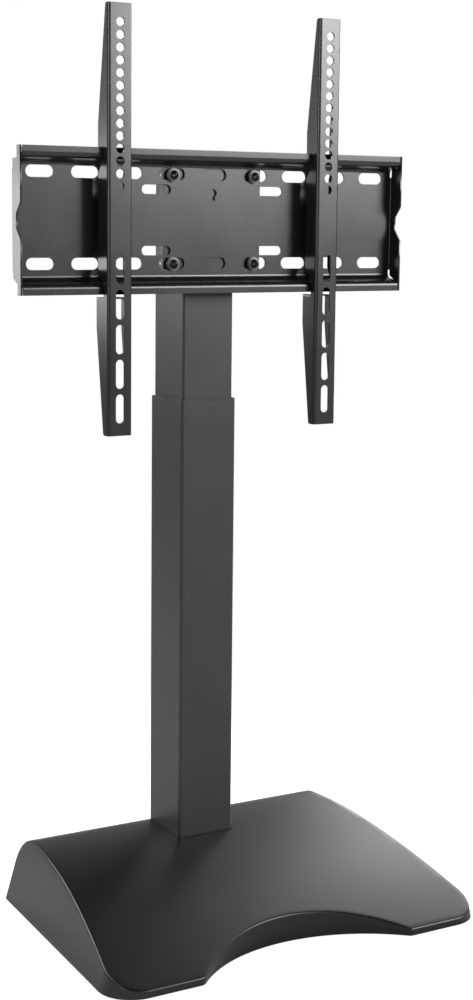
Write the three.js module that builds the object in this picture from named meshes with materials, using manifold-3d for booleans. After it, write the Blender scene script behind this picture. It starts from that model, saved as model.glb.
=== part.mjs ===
// A floor stand for a flat display: a curved hood over a steel base plate, a motor-driven telescopic
// column, a pressed carrier plate on its head, and two slotted hanger arms that slide on that plate.
import * as THREE from 'three';
import { mergeVertices } from 'three/addons/utils/BufferGeometryUtils.js';
import Module from 'manifold-3d';

// Lengths are millimetres: X to the right seen from the front, Y to the rear, Z up from the floor.
// Shared clearances and cutting values
const GAP = 0.3;
const OVERRUN = 10;
const WELD_GRID = 0.0001;
const SMALLEST_COSINE = 0.000001;
const CURVE_STEPS = 8;
const ROUND_STEPS = 24;
const SMALL_ROUND_STEPS = 16;
const SLOT_STEPS = 7;
const CORNER_STEPS = 5;
const BEND_STEPS = 4;
const DOME_STEPS = 3;

// Base outline seen from above
const BASE_DEPTH = 320;
const BASE_REAR_WIDTH = 396;
const BASE_FRONT_WIDTH = 463;
const COLUMN_SETBACK = 71;
const FRONT_CORNER_RADIUS = 36;
const TOE_CHORD = 256;
const TOE_DEPTH = 54;
const TOE_TIP_RADIUS = 9;
const TOE_STEPS = 22;

// Hood section from rear to front
const HOOD_RIM_LIFT = 1.2;
const HOOD_HEIGHT = 78;
const HOOD_FRONT_LIP = 9;
const HOOD_WALL = 2.5;
const HOOD_EDGE_RADIUS = 3;
const SIDE_LEAN_DEGREES = 13;
const HOOD_CREST_STEPS = 24;
const HOOD_SIDE_STEPS = 24;
const HOOD_REAR_STEPS = 7;
const EDGE_STEPS = 3;
const EDGE_MARGIN = 0.4;
const EDGE_BITE = 0.15;
const REAR_WALL_TOP_SHARES = [0.025, 0.564];
const REAR_ROUND_SHARES = [[0.033, 0.795], [0.075, 0.974]];
const CREST_SHARES = [0.1375, 1];
const SLOPE_SHARES = [[0.44, 1], [0.722, 0.59]];

// Steel base plate, pads and hood screws
const PAD_HEIGHT = 2;
const PAD_DIAMETER = 24;
const PAD_INSET = 34;
const PAD_REAR_INSET = 24;
const BASE_PLATE_THICKNESS = 4;
const BASE_PLATE_INSET = 7;
const BOSS_DIAMETER = 10;
const BOSS_INSET = 24;
const BOSS_REAR_INSET = 54;
const HOOD_SCREW_DIAMETER = 4;
const HOOD_SCREW_HEAD_DIAMETER = 8;
const HOOD_SCREW_HEAD_HEIGHT = 1.4;
const HOOD_SCREW_REACH = 8;
const HEAD_EDGE_SHARE = 0.7;

// Telescopic column
const OUTER_SIZE = 68;
const OUTER_RADIUS = 3;
const OUTER_WALL = 1.5;
const OUTER_TOP = 562;
const INNER_SIZE = 62.5;
const INNER_RADIUS = 2.6;
const INNER_WALL = 1.5;
const TUBE_TOP_BELOW_CARRIER = 13.6;
const LIFT_DOWN = 125;
const COLUMN_HOLE_CLEARANCE = 0.8;

// Column foot, welded under the outer tube, and its bolts
const FOOT_WIDTH = 124;
const FOOT_DEPTH = 110;
const FOOT_THICKNESS = 6;
const FOOT_CORNER_RADIUS = 8;
const FOOT_BOLT_DIAMETER = 8;
const FOOT_BOLT_HEAD = 13;
const FOOT_BOLT_HEAD_HEIGHT = 5.3;
const FOOT_BOLT_EDGE = 11;
const GUSSET_THICKNESS = 3;
const GUSSET_RISE = 34;
const GUSSET_RUN = 16;

// Drive in the column foot
const GEARBOX_HEIGHT = 48;
const GEARBOX_CLEARANCE = 1.5;
const GEARBOX_EDGE = 4;
const MOTOR_DIAMETER = 44;
const MOTOR_END_CLEARANCE = 23.7;
const MOTOR_NOSE_DIAMETER = 32;
const MOTOR_NOSE_LENGTH = 8;
const MOTOR_CAP_LENGTH = 7;
const MOTOR_CAP_INSET = 2;
const CLAMP_THICKNESS = 3;
const CLAMP_WIDTH = 22;
const CLAMP_FOOT = 16;
const WINDOW_CLEARANCE = 3;
const BEARING_DIAMETER = 34;
const BEARING_HEIGHT = 10;
const SPINDLE_DIAMETER = 16;
const SPINDLE_JOURNAL_DIAMETER = 12;
const SPINDLE_COLLAR_DIAMETER = 22;
const SPINDLE_COLLAR_HEIGHT = 5;
const SPINDLE_SEAT_DEPTH = 20;
const SPINDLE_TOP = 500;
const SPINDLE_END_CHAMFER = 2;

// Glides, nut and cap of the lifting tube
const UPPER_BUSH_DEPTH = 46;
const BUSH_TAB_WIDTH = 8;
const BUSH_TAB_DEPTH = 2;
const GLIDE_COLLAR_HEIGHT = 9;
const GLIDE_PLUG_HEIGHT = 26;
const NUT_DIAMETER = 30;
const NUT_HEIGHT = 28;
const NUT_FLANGE_DIAMETER = 40;
const NUT_FLANGE_HEIGHT = 4;
const CAP_THICKNESS = 2.5;
const CAP_SPIGOT = 12;
const CAP_SPIGOT_WALL = 2;

// Control box and power inlet
const BOX_DEPTH = 62;
const BOX_HEIGHT = 30;
const BOX_MARGIN = 6;
const BOX_CENTRE_Y = -12;
const BOX_EDGE_RADIUS = 4;
const BOX_RIB_WIDTH = 3;
const BOX_RIB_DEPTH = 1.5;
const BOX_RIB_COUNT = 9;
const INLET_X = -112;
const INLET_WIDTH = 28;
const INLET_HEIGHT = 20;
const INLET_LENGTH = 22;
const INLET_RADIUS = 3;
const INLET_POCKET_MARGIN = 4;
const INLET_POCKET_DEPTH = 14;
const INLET_BOTTOM = 14;
const INLET_REAR_SET = 3;

// Head bracket on the lifting tube
const HEAD_PLATE_SIDE_EDGE = 10;
const HEAD_PLATE_ROW_EDGE = 14.8;
const HEAD_PLATE_THICKNESS = 6;
const HEAD_PLATE_CORNER_RADIUS = 4;
const HEAD_CHEEK_CORNER_RADIUS = 8;
const HEAD_CHEEK_THICKNESS = 3;
const HEAD_CHEEK_DEPTH = 46;
const HEAD_CHEEK_HEIGHT = 104;
const HEAD_SCREW_DIAMETER = 6;
const HEAD_SCREW_HEAD_DIAMETER = 11;
const HEAD_SCREW_HEAD_HEIGHT = 3.4;
const HEAD_SCREW_REACH = 8;
const HEAD_SCREW_SPACING = 64;

// Carrier plate, pressed from one sheet
const CARRIER_WIDTH = 469;
const CARRIER_TOP = 825.6;
const CARRIER_HEIGHT = 148.6;
const CARRIER_SHEET = 2;
const CARRIER_DEPTH = 18.5;
const CARRIER_LIP = 8;
const CARRIER_WEB_RISE = 9.2;
const CARRIER_BEND_RADIUS = 2.6;
const FLANGE_SLIT = 0.9;
const FLANGE_STEP_DEPTH = 13;
const FLANGE_TOP_STEP = 12.6;
const FLANGE_BOTTOM_STEP = 11;
const FLANGE_BOTTOM_RUN = 8;
const FLANGE_NOTCH_OPENING = 39.5;
const FLANGE_NOTCH_FLOOR = 15.5;
const FLANGE_NOTCH_DEPTH = 14;
const CORNER_RELIEF = 6;
const WIDE_SLOT_LENGTH = 31;
const WIDE_SLOT_HEIGHT = 12.2;
const WIDE_SLOT_EDGE = 30.5;
const WIDE_SLOT_COUNT = 9;
const WIDE_SLOT_ROWS = 92.4;
const SLOT_ROWS_RISE = 2.3;
const SMALL_SLOT_LENGTH = 34.5;
const SMALL_SLOT_HEIGHT = 9.7;
const SMALL_SLOT_SPACING = 139;
const SMALL_SLOT_ROWS = 63.6;
const KEYHOLE_DIAMETER = 7.6;
const KEYHOLE_STEM_WIDTH = 3.6;
const KEYHOLE_STEM_LENGTH = 4;
const KEYHOLE_ABOVE_MIDDLE = 28.3;

// Bolts that hold the carrier to the head
const HEAD_BOLT_SPACING = 100;
const HEAD_BOLT_DIAMETER = 8;
const HEAD_BOLT_CAP_DIAMETER = 13.5;
const HEAD_BOLT_CAP_HEIGHT = 5;
const HEAD_BOLT_TAIL = 7;
const CROSS_RECESS_WIDTH = 1.6;
const CROSS_RECESS_LENGTH = 6.4;
const CROSS_RECESS_DEPTH = 2;
const WASHER_DIAMETER = 15;
const WASHER_THICKNESS = 1.6;
const NUT_ACROSS = 13;
const NUT_THICKNESS = 5.5;
const NUT_SIDES = 6;

// Hanger arms, folded from sheet
const ARM_ABOVE_CARRIER = 142.4;
const ARM_LENGTH = 436;
const ARM_WIDTH = 26.5;
const ARM_SHEET = 2;
const ARM_BEND_RADIUS = 2.4;
const ARM_PROUD = 10.5;
const ARM_DEPTH = 27.2;
const ARM_UPPER_DEPTH = 23.6;
const ARM_TOP_END_DEPTH = 6.9;
const ARM_BOTTOM_END_DEPTH = 12;
const ARM_TOP_TAPER = 119;
const ARM_BOTTOM_STRAIGHT = 29;
const ARM_END_ROUND = 3;
const ARM_LEFT_X = -127.6;
const ARM_RIGHT_X = 127.6;
const ARM_HOLE_DIAMETER = 9.3;
const ARM_HOLE_PITCH = 12.5;
const ARM_HOLE_COUNT = 14;
const ARM_FIRST_HOLE = 18.7;
const ARM_SLOT_WIDTH = 9.6;
const ARM_SLOT_LENGTH = 30;
const ARM_SLOT_PITCH = 35.7;
const ARM_SLOT_COUNT = 5;
const ARM_LAST_SLOT = 28;
const HOOK_CLEARANCE = 0.6;
const HOOK_TOOTH = 4.2;
const SHOULDER_DROP = 4.8;

// Lock strip and screw inside each arm
const STRIP_THICKNESS = 1.5;
const LOCK_SCREW_DIAMETER = 5;
const LOCK_SCREW_HEAD_DIAMETER = 9;
const LOCK_SCREW_HEAD_HEIGHT = 3;
const LOCK_SCREW_REACH = 10;

// Levels and places that follow from the sizes above
const rad = THREE.MathUtils.degToRad;
const rearY = COLUMN_SETBACK;
const frontY = COLUMN_SETBACK - BASE_DEPTH;
const plateBottom = PAD_HEIGHT + GAP;
const plateTop = plateBottom + BASE_PLATE_THICKNESS;
const footBottom = plateTop + GAP;
const footTop = footBottom + FOOT_THICKNESS;
const outerBore = OUTER_SIZE - 2 * OUTER_WALL;
const gearboxTop = footTop + GAP + GEARBOX_HEIGHT;
const motorZ = footTop + GAP + GEARBOX_HEIGHT / 2;
const bearingTop = gearboxTop + GAP + BEARING_HEIGHT;
const collarTop = bearingTop + GAP + SPINDLE_COLLAR_HEIGHT;
const glideBottom = collarTop + GAP + LIFT_DOWN;
const innerBottom = glideBottom + GLIDE_COLLAR_HEIGHT + GAP;
const innerTop = CARRIER_TOP - TUBE_TOP_BELOW_CARRIER;
const headPlateFront = -INNER_SIZE / 2 - GAP - HEAD_PLATE_THICKNESS;
const carrierBack = headPlateFront - GAP;
const carrierFace = carrierBack - CARRIER_SHEET;
const lipFront = carrierFace - CARRIER_DEPTH;
const carrierBottom = CARRIER_TOP - CARRIER_HEIGHT;
const carrierMiddle = CARRIER_TOP - CARRIER_HEIGHT / 2;
const rowMiddle = carrierMiddle + SLOT_ROWS_RISE;
const faceTop = CARRIER_TOP - CARRIER_LIP - CARRIER_WEB_RISE;
const faceBottom = carrierBottom + CARRIER_LIP + CARRIER_WEB_RISE;
const armFront = lipFront - ARM_PROUD;
const armTop = CARRIER_TOP + ARM_ABOVE_CARRIER;
const armBottom = armTop - ARM_LENGTH;
const shoulderZ = carrierBottom - SHOULDER_DROP;

const wasm = await Module();
wasm.setup();

// A closed geometry as a solid, and a solid as a geometry
function solidOf(geometry) {
  geometry.deleteAttribute('normal');
  geometry.deleteAttribute('uv');
  const merged = mergeVertices(geometry, WELD_GRID);
  const vertProperties = new Float32Array(merged.attributes.position.array);
  const triVerts = new Uint32Array(merged.index.array);
  return new wasm.Manifold(new wasm.Mesh({ numProp: 3, vertProperties, triVerts }));
}

function geometryOf(solid) {
  const mesh = solid.getMesh();
  const geometry = new THREE.BufferGeometry();
  geometry.setAttribute('position', new THREE.BufferAttribute(mesh.vertProperties, 3));
  geometry.setIndex(new THREE.BufferAttribute(mesh.triVerts, 1));
  const flat = geometry.toNonIndexed();
  flat.computeVertexNormals();
  return flat;
}

// Closed outlines
function roundedOutline(corners, steps = CORNER_STEPS) {
  const points = [];
  corners.forEach(({ x, y, radius }, i) => {
    const here = new THREE.Vector2(x, y);
    if (!radius) {
      points.push(here);
      return;
    }
    const before = corners[(i + corners.length - 1) % corners.length];
    const after = corners[(i + 1) % corners.length];
    const toBefore = new THREE.Vector2(before.x, before.y).sub(here).normalize();
    const toAfter = new THREE.Vector2(after.x, after.y).sub(here).normalize();
    const halfAngle = Math.acos(THREE.MathUtils.clamp(toBefore.dot(toAfter), -1, 1)) / 2;
    const run = radius / Math.tan(halfAngle);
    const middle = toBefore.clone().add(toAfter).normalize().multiplyScalar(radius / Math.sin(halfAngle));
    const centre = here.clone().add(middle);
    const start = here.clone().addScaledVector(toBefore, run).sub(centre);
    const end = here.clone().addScaledVector(toAfter, run).sub(centre);
    const sweep = Math.atan2(start.cross(end), start.dot(end));
    for (let k = 0; k <= steps; k += 1) {
      points.push(start.clone().rotateAround(new THREE.Vector2(), sweep * k / steps).add(centre));
    }
  });
  return points;
}

function rectangle(x, y, width, height, radius = 0) {
  return roundedOutline([
    { x: x - width / 2, y: y - height / 2, radius },
    { x: x + width / 2, y: y - height / 2, radius },
    { x: x + width / 2, y: y + height / 2, radius },
    { x: x - width / 2, y: y + height / 2, radius },
  ]);
}

function disc(x, y, diameter, steps = ROUND_STEPS) {
  return Array.from({ length: steps }, (_, i) => {
    const turn = 2 * Math.PI * i / steps;
    return new THREE.Vector2(x + diameter / 2 * Math.cos(turn), y + diameter / 2 * Math.sin(turn));
  });
}

function slot(x, y, length, width) {
  const half = Math.abs(length - width) / 2;
  const dx = length > width ? half : 0;
  const dy = length > width ? 0 : half;
  const reach = Math.min(length, width) / 2;
  const turnStart = length > width ? -Math.PI / 2 : 0;
  const points = [];
  for (const side of [1, -1]) {
    for (let k = 0; k <= SLOT_STEPS; k += 1) {
      const turn = turnStart + (side > 0 ? 0 : Math.PI) + Math.PI * k / SLOT_STEPS;
      const centre = new THREE.Vector2(x + side * dx, y + side * dy);
      points.push(centre.add(new THREE.Vector2(reach * Math.cos(turn), reach * Math.sin(turn))));
    }
  }
  return points;
}

// A sheet folded along a line of points, as a closed section
function foldedSection(line, thickness, radius) {
  const spine = [];
  line.forEach(([x, y], i) => {
    const inner = i > 0 && i < line.length - 1;
    spine.push({ x, y, radius: inner ? radius : 0 });
  });
  const open = [];
  spine.forEach((corner, i) => {
    if (!corner.radius) {
      open.push(new THREE.Vector2(corner.x, corner.y));
      return;
    }
    const neighbours = [spine[i - 1], spine[i + 1]].map((end) => ({ ...end, radius: 0 }));
    const arc = roundedOutline([neighbours[0], corner, neighbours[1]], BEND_STEPS);
    open.push(...arc.slice(1, -1));
  });
  const left = [];
  const right = [];
  open.forEach((point, i) => {
    const before = open[Math.max(i - 1, 0)];
    const after = open[Math.min(i + 1, open.length - 1)];
    const a = point.clone().sub(before).normalize();
    const b = after.clone().sub(point).normalize();
    const along = a.add(b).normalize();
    const first = i === 0 ? b : point.clone().sub(before).normalize();
    const spread = thickness / 2 / Math.max(along.dot(first), SMALLEST_COSINE);
    const side = new THREE.Vector2(-along.y, along.x).multiplyScalar(spread);
    left.push(point.clone().add(side));
    right.push(point.clone().sub(side));
  });
  return [...left, ...right.reverse()];
}

// Prisms: up along Z, across along X from a Y-Z outline, deep along Y from an X-Z outline
function prism(outline, length, holes = []) {
  const shape = new THREE.Shape(outline);
  shape.holes = holes.map((hole) => new THREE.Path(hole));
  return new THREE.ExtrudeGeometry(shape, { depth: length, bevelEnabled: false });
}

function up(outline, from, to, holes = []) {
  return solidOf(prism(outline, to - from, holes).translate(0, 0, from));
}

function across(outline, from, to, holes = []) {
  const turn = new THREE.Matrix4().makeBasis(
    new THREE.Vector3(0, 1, 0), new THREE.Vector3(0, 0, 1), new THREE.Vector3(1, 0, 0));
  return solidOf(prism(outline, to - from, holes).applyMatrix4(turn).translate(from, 0, 0));
}

function deep(outline, front, back, holes = []) {
  const turn = new THREE.Matrix4().makeBasis(
    new THREE.Vector3(1, 0, 0), new THREE.Vector3(0, 0, 1), new THREE.Vector3(0, -1, 0));
  return solidOf(prism(outline, back - front, holes).applyMatrix4(turn).translate(0, back, 0));
}

// A body turned about the Z axis
function turned(profile, steps = ROUND_STEPS) {
  const points = profile.map(([r, z]) => new THREE.Vector2(r, z));
  return new THREE.LatheGeometry(points, steps).rotateX(Math.PI / 2);
}

// A closed body through a row of rings with equal counts, each end closed round a hub point
function lofted(rings, hubs) {
  const count = rings[0].length;
  const positions = [...rings.flat(), ...hubs].flatMap((p) => [p.x, p.y, p.z]);
  const index = [];
  for (let r = 0; r < rings.length - 1; r += 1) {
    for (let i = 0; i < count; i += 1) {
      const a = r * count + i;
      const b = r * count + (i + 1) % count;
      index.push(a, b, b + count, a, b + count, a + count);
    }
  }
  const last = (rings.length - 1) * count;
  const hub = rings.length * count;
  for (let i = 0; i < count; i += 1) {
    const next = (i + 1) % count;
    index.push(hub, next, i, hub + 1, last + i, last + next);
  }
  const geometry = new THREE.BufferGeometry();
  geometry.setAttribute('position', new THREE.Float32BufferAttribute(positions, 3));
  geometry.setIndex(index);
  return geometry;
}

function outward(geometry) {
  const p = geometry.attributes.position;
  const index = geometry.index.array;
  const [a, b, c] = [new THREE.Vector3(), new THREE.Vector3(), new THREE.Vector3()];
  let volume = 0;
  for (let i = 0; i < index.length; i += 3) {
    a.fromBufferAttribute(p, index[i]);
    b.fromBufferAttribute(p, index[i + 1]);
    c.fromBufferAttribute(p, index[i + 2]);
    volume += a.dot(b.cross(c));
  }
  if (volume < 0) {
    for (let i = 0; i < index.length; i += 3) {
      [index[i], index[i + 1]] = [index[i + 1], index[i]];
    }
  }
  return geometry;
}

// Hood: section, plan and rolled edges
function hoodSection(inset, rim = HOOD_RIM_LIFT) {
  const at = ([yShare, zShare]) => new THREE.Vector2(rearY - yShare * BASE_DEPTH, zShare * HOOD_HEIGHT);
  const wallTop = at(REAR_WALL_TOP_SHARES);
  const crest = at(CREST_SHARES);
  const lip = new THREE.Vector2(frontY, HOOD_FRONT_LIP);
  const round = new THREE.CubicBezierCurve(wallTop, ...REAR_ROUND_SHARES.map(at), crest);
  const slope = new THREE.CubicBezierCurve(crest, ...SLOPE_SHARES.map(at), lip);
  const skin = [
    new THREE.Vector2(rearY, HOOD_RIM_LIFT),
    ...round.getPoints(HOOD_REAR_STEPS),
    ...slope.getPoints(HOOD_CREST_STEPS).slice(1),
  ];
  const moved = skin.map((point, i) => {
    const before = skin[Math.max(i - 1, 0)];
    const after = skin[Math.min(i + 1, skin.length - 1)];
    const along = after.clone().sub(before).normalize();
    return point.clone().add(new THREE.Vector2(-along.y, along.x).multiplyScalar(inset));
  });
  moved[0].y = rim;
  moved.push(new THREE.Vector2(moved[moved.length - 1].x, rim));
  return moved;
}

function basePlan(inset) {
  const splay = Math.atan((BASE_FRONT_WIDTH - BASE_REAR_WIDTH) / 2 / BASE_DEPTH);
  const halfAt = (y) => BASE_REAR_WIDTH / 2 + (rearY - y) * Math.tan(splay) - inset / Math.cos(splay);
  const back = rearY - inset;
  const front = frontY + inset;
  const toeRadius = ((TOE_CHORD / 2) ** 2 + TOE_DEPTH ** 2) / (2 * TOE_DEPTH);
  const toeCentre = frontY + TOE_DEPTH - toeRadius;
  const reach = Math.acos((front - toeCentre) / (toeRadius + inset));
  const corners = [
    { x: halfAt(back), y: back, radius: 0 },
    { x: -halfAt(back), y: back, radius: 0 },
    { x: -halfAt(front), y: front, radius: FRONT_CORNER_RADIUS - inset },
  ];
  for (let k = 0; k <= TOE_STEPS; k += 1) {
    const turn = reach * (2 * k / TOE_STEPS - 1);
    const tip = k === 0 || k === TOE_STEPS;
    corners.push({
      x: (toeRadius + inset) * Math.sin(turn),
      y: toeCentre + (toeRadius + inset) * Math.cos(turn),
      radius: tip ? Math.max(TOE_TIP_RADIUS - inset, HOOD_WALL) : 0,
    });
  }
  corners.push({ x: halfAt(front), y: front, radius: FRONT_CORNER_RADIUS - inset });
  return { outline: roundedOutline(corners, CURVE_STEPS), halfAt };
}

const leanRate = Math.tan(rad(SIDE_LEAN_DEGREES)) / ((BASE_REAR_WIDTH + BASE_FRONT_WIDTH) / 4);
const leaned = (x, y, z) => new THREE.Vector3(x * (1 - leanRate * z), y, z);

// Inset and depth of each step round a quarter edge, from the side to the top
const edgePath = Array.from({ length: EDGE_STEPS + 1 }, (_, k) => {
  const turn = Math.PI / 2 * k / EDGE_STEPS;
  return { inset: HOOD_EDGE_RADIUS * (1 - Math.cos(turn)), depth: HOOD_EDGE_RADIUS * (1 - Math.sin(turn)) };
});

// The section carried from side to side, with its outer edges rolled
function sectionBody() {
  const { halfAt } = basePlan(0);
  const half = (side) => edgePath.map(({ inset, depth }) => hoodSection(depth).map(
    ({ x: y, y: z }) => leaned(side * (halfAt(y) - inset), y, z)));
  const hubs = [-1, 1].map((side) => leaned(side * halfAt(0), 0, HOOD_FRONT_LIP));
  return solidOf(outward(lofted([...half(-1), ...half(1).reverse()], hubs)));
}

// The plan carried upwards, with its top edge rolled to follow the section
function planBody() {
  const crestY = rearY - CREST_SHARES[0] * BASE_DEPTH;
  const slope = hoodSection(0).slice(HOOD_REAR_STEPS + 1, -1);
  const topAt = (y) => {
    if (y >= crestY) {
      return HOOD_HEIGHT;
    }
    const next = Math.max(slope.findIndex((point) => point.x <= y + GAP), 1);
    const [a, b] = [slope[next - 1], slope[next]];
    return b.y + (y - b.x) * (a.y - b.y) / (a.x - b.x);
  };
  const between = (a, b) => Array.from({ length: HOOD_SIDE_STEPS - 1 }, (_, k) => (
    a.clone().lerp(b, (k + 1) / HOOD_SIDE_STEPS)));
  const ring = (inset, height) => {
    const plan = basePlan(inset - EDGE_MARGIN).outline;
    const left = between(plan[1], plan[2]);
    const right = between(plan[plan.length - 1], plan[0]);
    return [plan[0], plan[1], ...left, ...plan.slice(2), ...right].map(({ x, y }) => leaned(x, y, height(y)));
  };
  const rings = [ring(0, () => -OVERRUN)];
  for (const { inset, depth } of edgePath) {
    rings.push(ring(inset, (y) => topAt(y) - depth + EDGE_BITE));
  }
  rings.push(ring(HOOD_EDGE_RADIUS, () => HOOD_HEIGHT + OVERRUN));
  const hubs = [-OVERRUN, HOOD_HEIGHT + OVERRUN].map((z) => new THREE.Vector3(0, 0, z));
  return solidOf(outward(lofted(rings, hubs)));
}

function hollowBody(inset) {
  const plan = basePlan(inset).outline;
  const levels = [-OVERRUN, HOOD_HEIGHT + OVERRUN];
  const rings = levels.map((z) => plan.map((p) => leaned(p.x, p.y, z)));
  const column = solidOf(outward(lofted(rings, levels.map((z) => new THREE.Vector3(0, 0, z)))));
  const reach = basePlan(0).halfAt(frontY) + OVERRUN;
  return column.intersect(across(hoodSection(inset, HOOD_RIM_LIFT - OVERRUN / 2), -reach, reach));
}

const bossX = BASE_REAR_WIDTH / 2 - BOSS_INSET - BASE_PLATE_INSET;
const bossPlaces = [[-bossX, rearY - BOSS_REAR_INSET], [bossX, rearY - BOSS_REAR_INSET],
  [-bossX, frontY + BASE_DEPTH / 2 - BOSS_INSET], [bossX, frontY + BASE_DEPTH / 2 - BOSS_INSET]];

function hood() {
  let shell = sectionBody().intersect(planBody()).subtract(hollowBody(HOOD_WALL));
  const roof = hollowBody(HOOD_WALL / 2);
  for (const [x, y] of bossPlaces) {
    const boss = up(disc(x, y, BOSS_DIAMETER, SMALL_ROUND_STEPS), plateTop + GAP, HOOD_HEIGHT);
    const boreTop = plateTop + HOOD_SCREW_REACH + GAP;
    const bore = up(disc(x, y, HOOD_SCREW_DIAMETER + 2 * GAP, SMALL_ROUND_STEPS), 0, boreTop);
    shell = shell.add(boss.intersect(roof)).subtract(bore);
  }
  const opening = OUTER_SIZE + 2 * COLUMN_HOLE_CLEARANCE;
  const holeOutline = rectangle(0, 0, opening, opening, OUTER_RADIUS + COLUMN_HOLE_CLEARANCE);
  const hole = up(holeOutline, footTop, HOOD_HEIGHT + OVERRUN);
  const inletMiddle = INLET_BOTTOM + INLET_HEIGHT / 2;
  const socket = deep(
    rectangle(INLET_X, inletMiddle, INLET_WIDTH + 2 * GAP, INLET_HEIGHT + 2 * GAP, INLET_RADIUS + GAP),
    rearY - BOSS_INSET, rearY + OVERRUN);
  return shell.subtract(hole).subtract(socket);
}

function basePlate() {
  const plan = basePlan(BASE_PLATE_INSET).outline;
  const holes = bossPlaces.map(([x, y]) => disc(x, y, HOOD_SCREW_DIAMETER + 2 * GAP, SMALL_ROUND_STEPS));
  for (const [x, y] of footBoltPlaces) {
    holes.push(disc(x, y, FOOT_BOLT_DIAMETER + 2 * GAP, SMALL_ROUND_STEPS));
  }
  return up(plan, plateBottom, plateTop, holes);
}

const padPlaces = {
  rear_left: [-BASE_REAR_WIDTH / 2 + PAD_INSET, rearY - PAD_REAR_INSET],
  rear_right: [BASE_REAR_WIDTH / 2 - PAD_INSET, rearY - PAD_REAR_INSET],
  front_left: [-(BASE_FRONT_WIDTH + TOE_CHORD) / 4, frontY + PAD_INSET],
  front_right: [(BASE_FRONT_WIDTH + TOE_CHORD) / 4, frontY + PAD_INSET],
};

function headedScrew(diameter, headDiameter, headHeight, length, steps = SMALL_ROUND_STEPS) {
  // The shank runs up from the head's seat at Z = 0
  return turned([
    [0, -headHeight], [headDiameter / 2 * HEAD_EDGE_SHARE, -headHeight],
    [headDiameter / 2, -headHeight * HEAD_EDGE_SHARE], [headDiameter / 2, 0],
    [diameter / 2, 0], [diameter / 2, length], [0, length],
  ], steps);
}

// Column foot and outer tube, one weldment
const footBoltX = FOOT_WIDTH / 2 - FOOT_BOLT_EDGE;
const footBoltY = FOOT_DEPTH / 2 - FOOT_BOLT_EDGE;
const footBoltPlaces = [[-footBoltX, -footBoltY], [footBoltX, -footBoltY],
  [-footBoltX, footBoltY], [footBoltX, footBoltY]];

function outerColumn() {
  const bore = rectangle(0, 0, outerBore, outerBore, OUTER_RADIUS - OUTER_WALL);
  const tube = up(rectangle(0, 0, OUTER_SIZE, OUTER_SIZE, OUTER_RADIUS), footTop - GAP, OUTER_TOP, [bore]);
  const foot = up(
    rectangle(0, 0, FOOT_WIDTH, FOOT_DEPTH, FOOT_CORNER_RADIUS), footBottom, footTop,
    footBoltPlaces.map(([x, y]) => disc(x, y, FOOT_BOLT_DIAMETER + 2 * GAP, SMALL_ROUND_STEPS)));
  let column = tube.add(foot);
  for (const side of [-1, 1]) {
    const root = side * (OUTER_SIZE / 2 - OUTER_WALL / 2);
    const gusset = across([
      new THREE.Vector2(root, footTop - GAP),
      new THREE.Vector2(side * (OUTER_SIZE / 2 + GUSSET_RUN), footTop - GAP),
      new THREE.Vector2(root, footTop + GUSSET_RISE),
    ], -GUSSET_THICKNESS / 2, GUSSET_THICKNESS / 2);
    column = column.add(gusset);
    const sideNotch = rectangle(side * OUTER_SIZE / 2, 0, 3 * OUTER_WALL, BUSH_TAB_WIDTH);
    const faceNotch = rectangle(0, side * OUTER_SIZE / 2, BUSH_TAB_WIDTH, 3 * OUTER_WALL);
    for (const notch of [sideNotch, faceNotch]) {
      column = column.subtract(up(notch, OUTER_TOP - BUSH_TAB_DEPTH, OUTER_TOP + OVERRUN));
    }
  }
  const windowWidth = MOTOR_NOSE_DIAMETER + 2 * WINDOW_CLEARANCE;
  const window = across(disc(0, motorZ, windowWidth), 0, OUTER_SIZE / 2 + OVERRUN);
  return column.subtract(window);
}

function gearbox() {
  const size = outerBore - 2 * GEARBOX_CLEARANCE;
  const body = up(rectangle(0, 0, size, size, GEARBOX_EDGE), footTop + GAP, gearboxTop);
  const boreOutline = disc(0, 0, SPINDLE_JOURNAL_DIAMETER + 2 * GAP, SMALL_ROUND_STEPS);
  const bore = up(boreOutline, gearboxTop - SPINDLE_SEAT_DEPTH - GAP, gearboxTop + OVERRUN);
  const nose = across(disc(0, motorZ, MOTOR_NOSE_DIAMETER), size / 4, OUTER_SIZE / 2 + MOTOR_NOSE_LENGTH);
  return body.add(nose).subtract(bore);
}

const motorStart = OUTER_SIZE / 2 + MOTOR_NOSE_LENGTH + GAP;
const motorLength = bossX - BOSS_DIAMETER / 2 - MOTOR_END_CLEARANCE - motorStart;

function motor() {
  const end = motorStart + motorLength;
  const body = across(disc(0, motorZ, MOTOR_DIAMETER), motorStart, end - MOTOR_CAP_LENGTH);
  const capDiameter = MOTOR_DIAMETER - 2 * MOTOR_CAP_INSET;
  return body.add(across(disc(0, motorZ, capDiameter), motorStart + motorLength / 2, end));
}

function motorClamp() {
  const ring = MOTOR_DIAMETER + 2 * GAP;
  const start = motorStart + motorLength / 2 - CLAMP_WIDTH / 2;
  const end = start + CLAMP_WIDTH;
  const shell = across(disc(0, motorZ, ring + 2 * CLAMP_THICKNESS), start, end);
  const half = ring / 2 + CLAMP_THICKNESS;
  const pedestal = across(rectangle(0, (plateTop + motorZ) / 2, 2 * half, motorZ - plateTop), start, end);
  const feet = across(
    rectangle(0, plateTop + GAP + CLAMP_THICKNESS / 2, 2 * (half + CLAMP_FOOT), CLAMP_THICKNESS), start, end);
  const lifted = across(rectangle(0, plateTop, 4 * half, 2 * GAP), start - OVERRUN, end + OVERRUN);
  return shell.add(pedestal).add(feet).subtract(across(disc(0, motorZ, ring), start - OVERRUN, end + OVERRUN))
    .subtract(lifted);
}

function bearing() {
  const bore = disc(0, 0, SPINDLE_JOURNAL_DIAMETER + 2 * GAP);
  return up(disc(0, 0, BEARING_DIAMETER), gearboxTop + GAP, bearingTop, [bore]);
}

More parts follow.
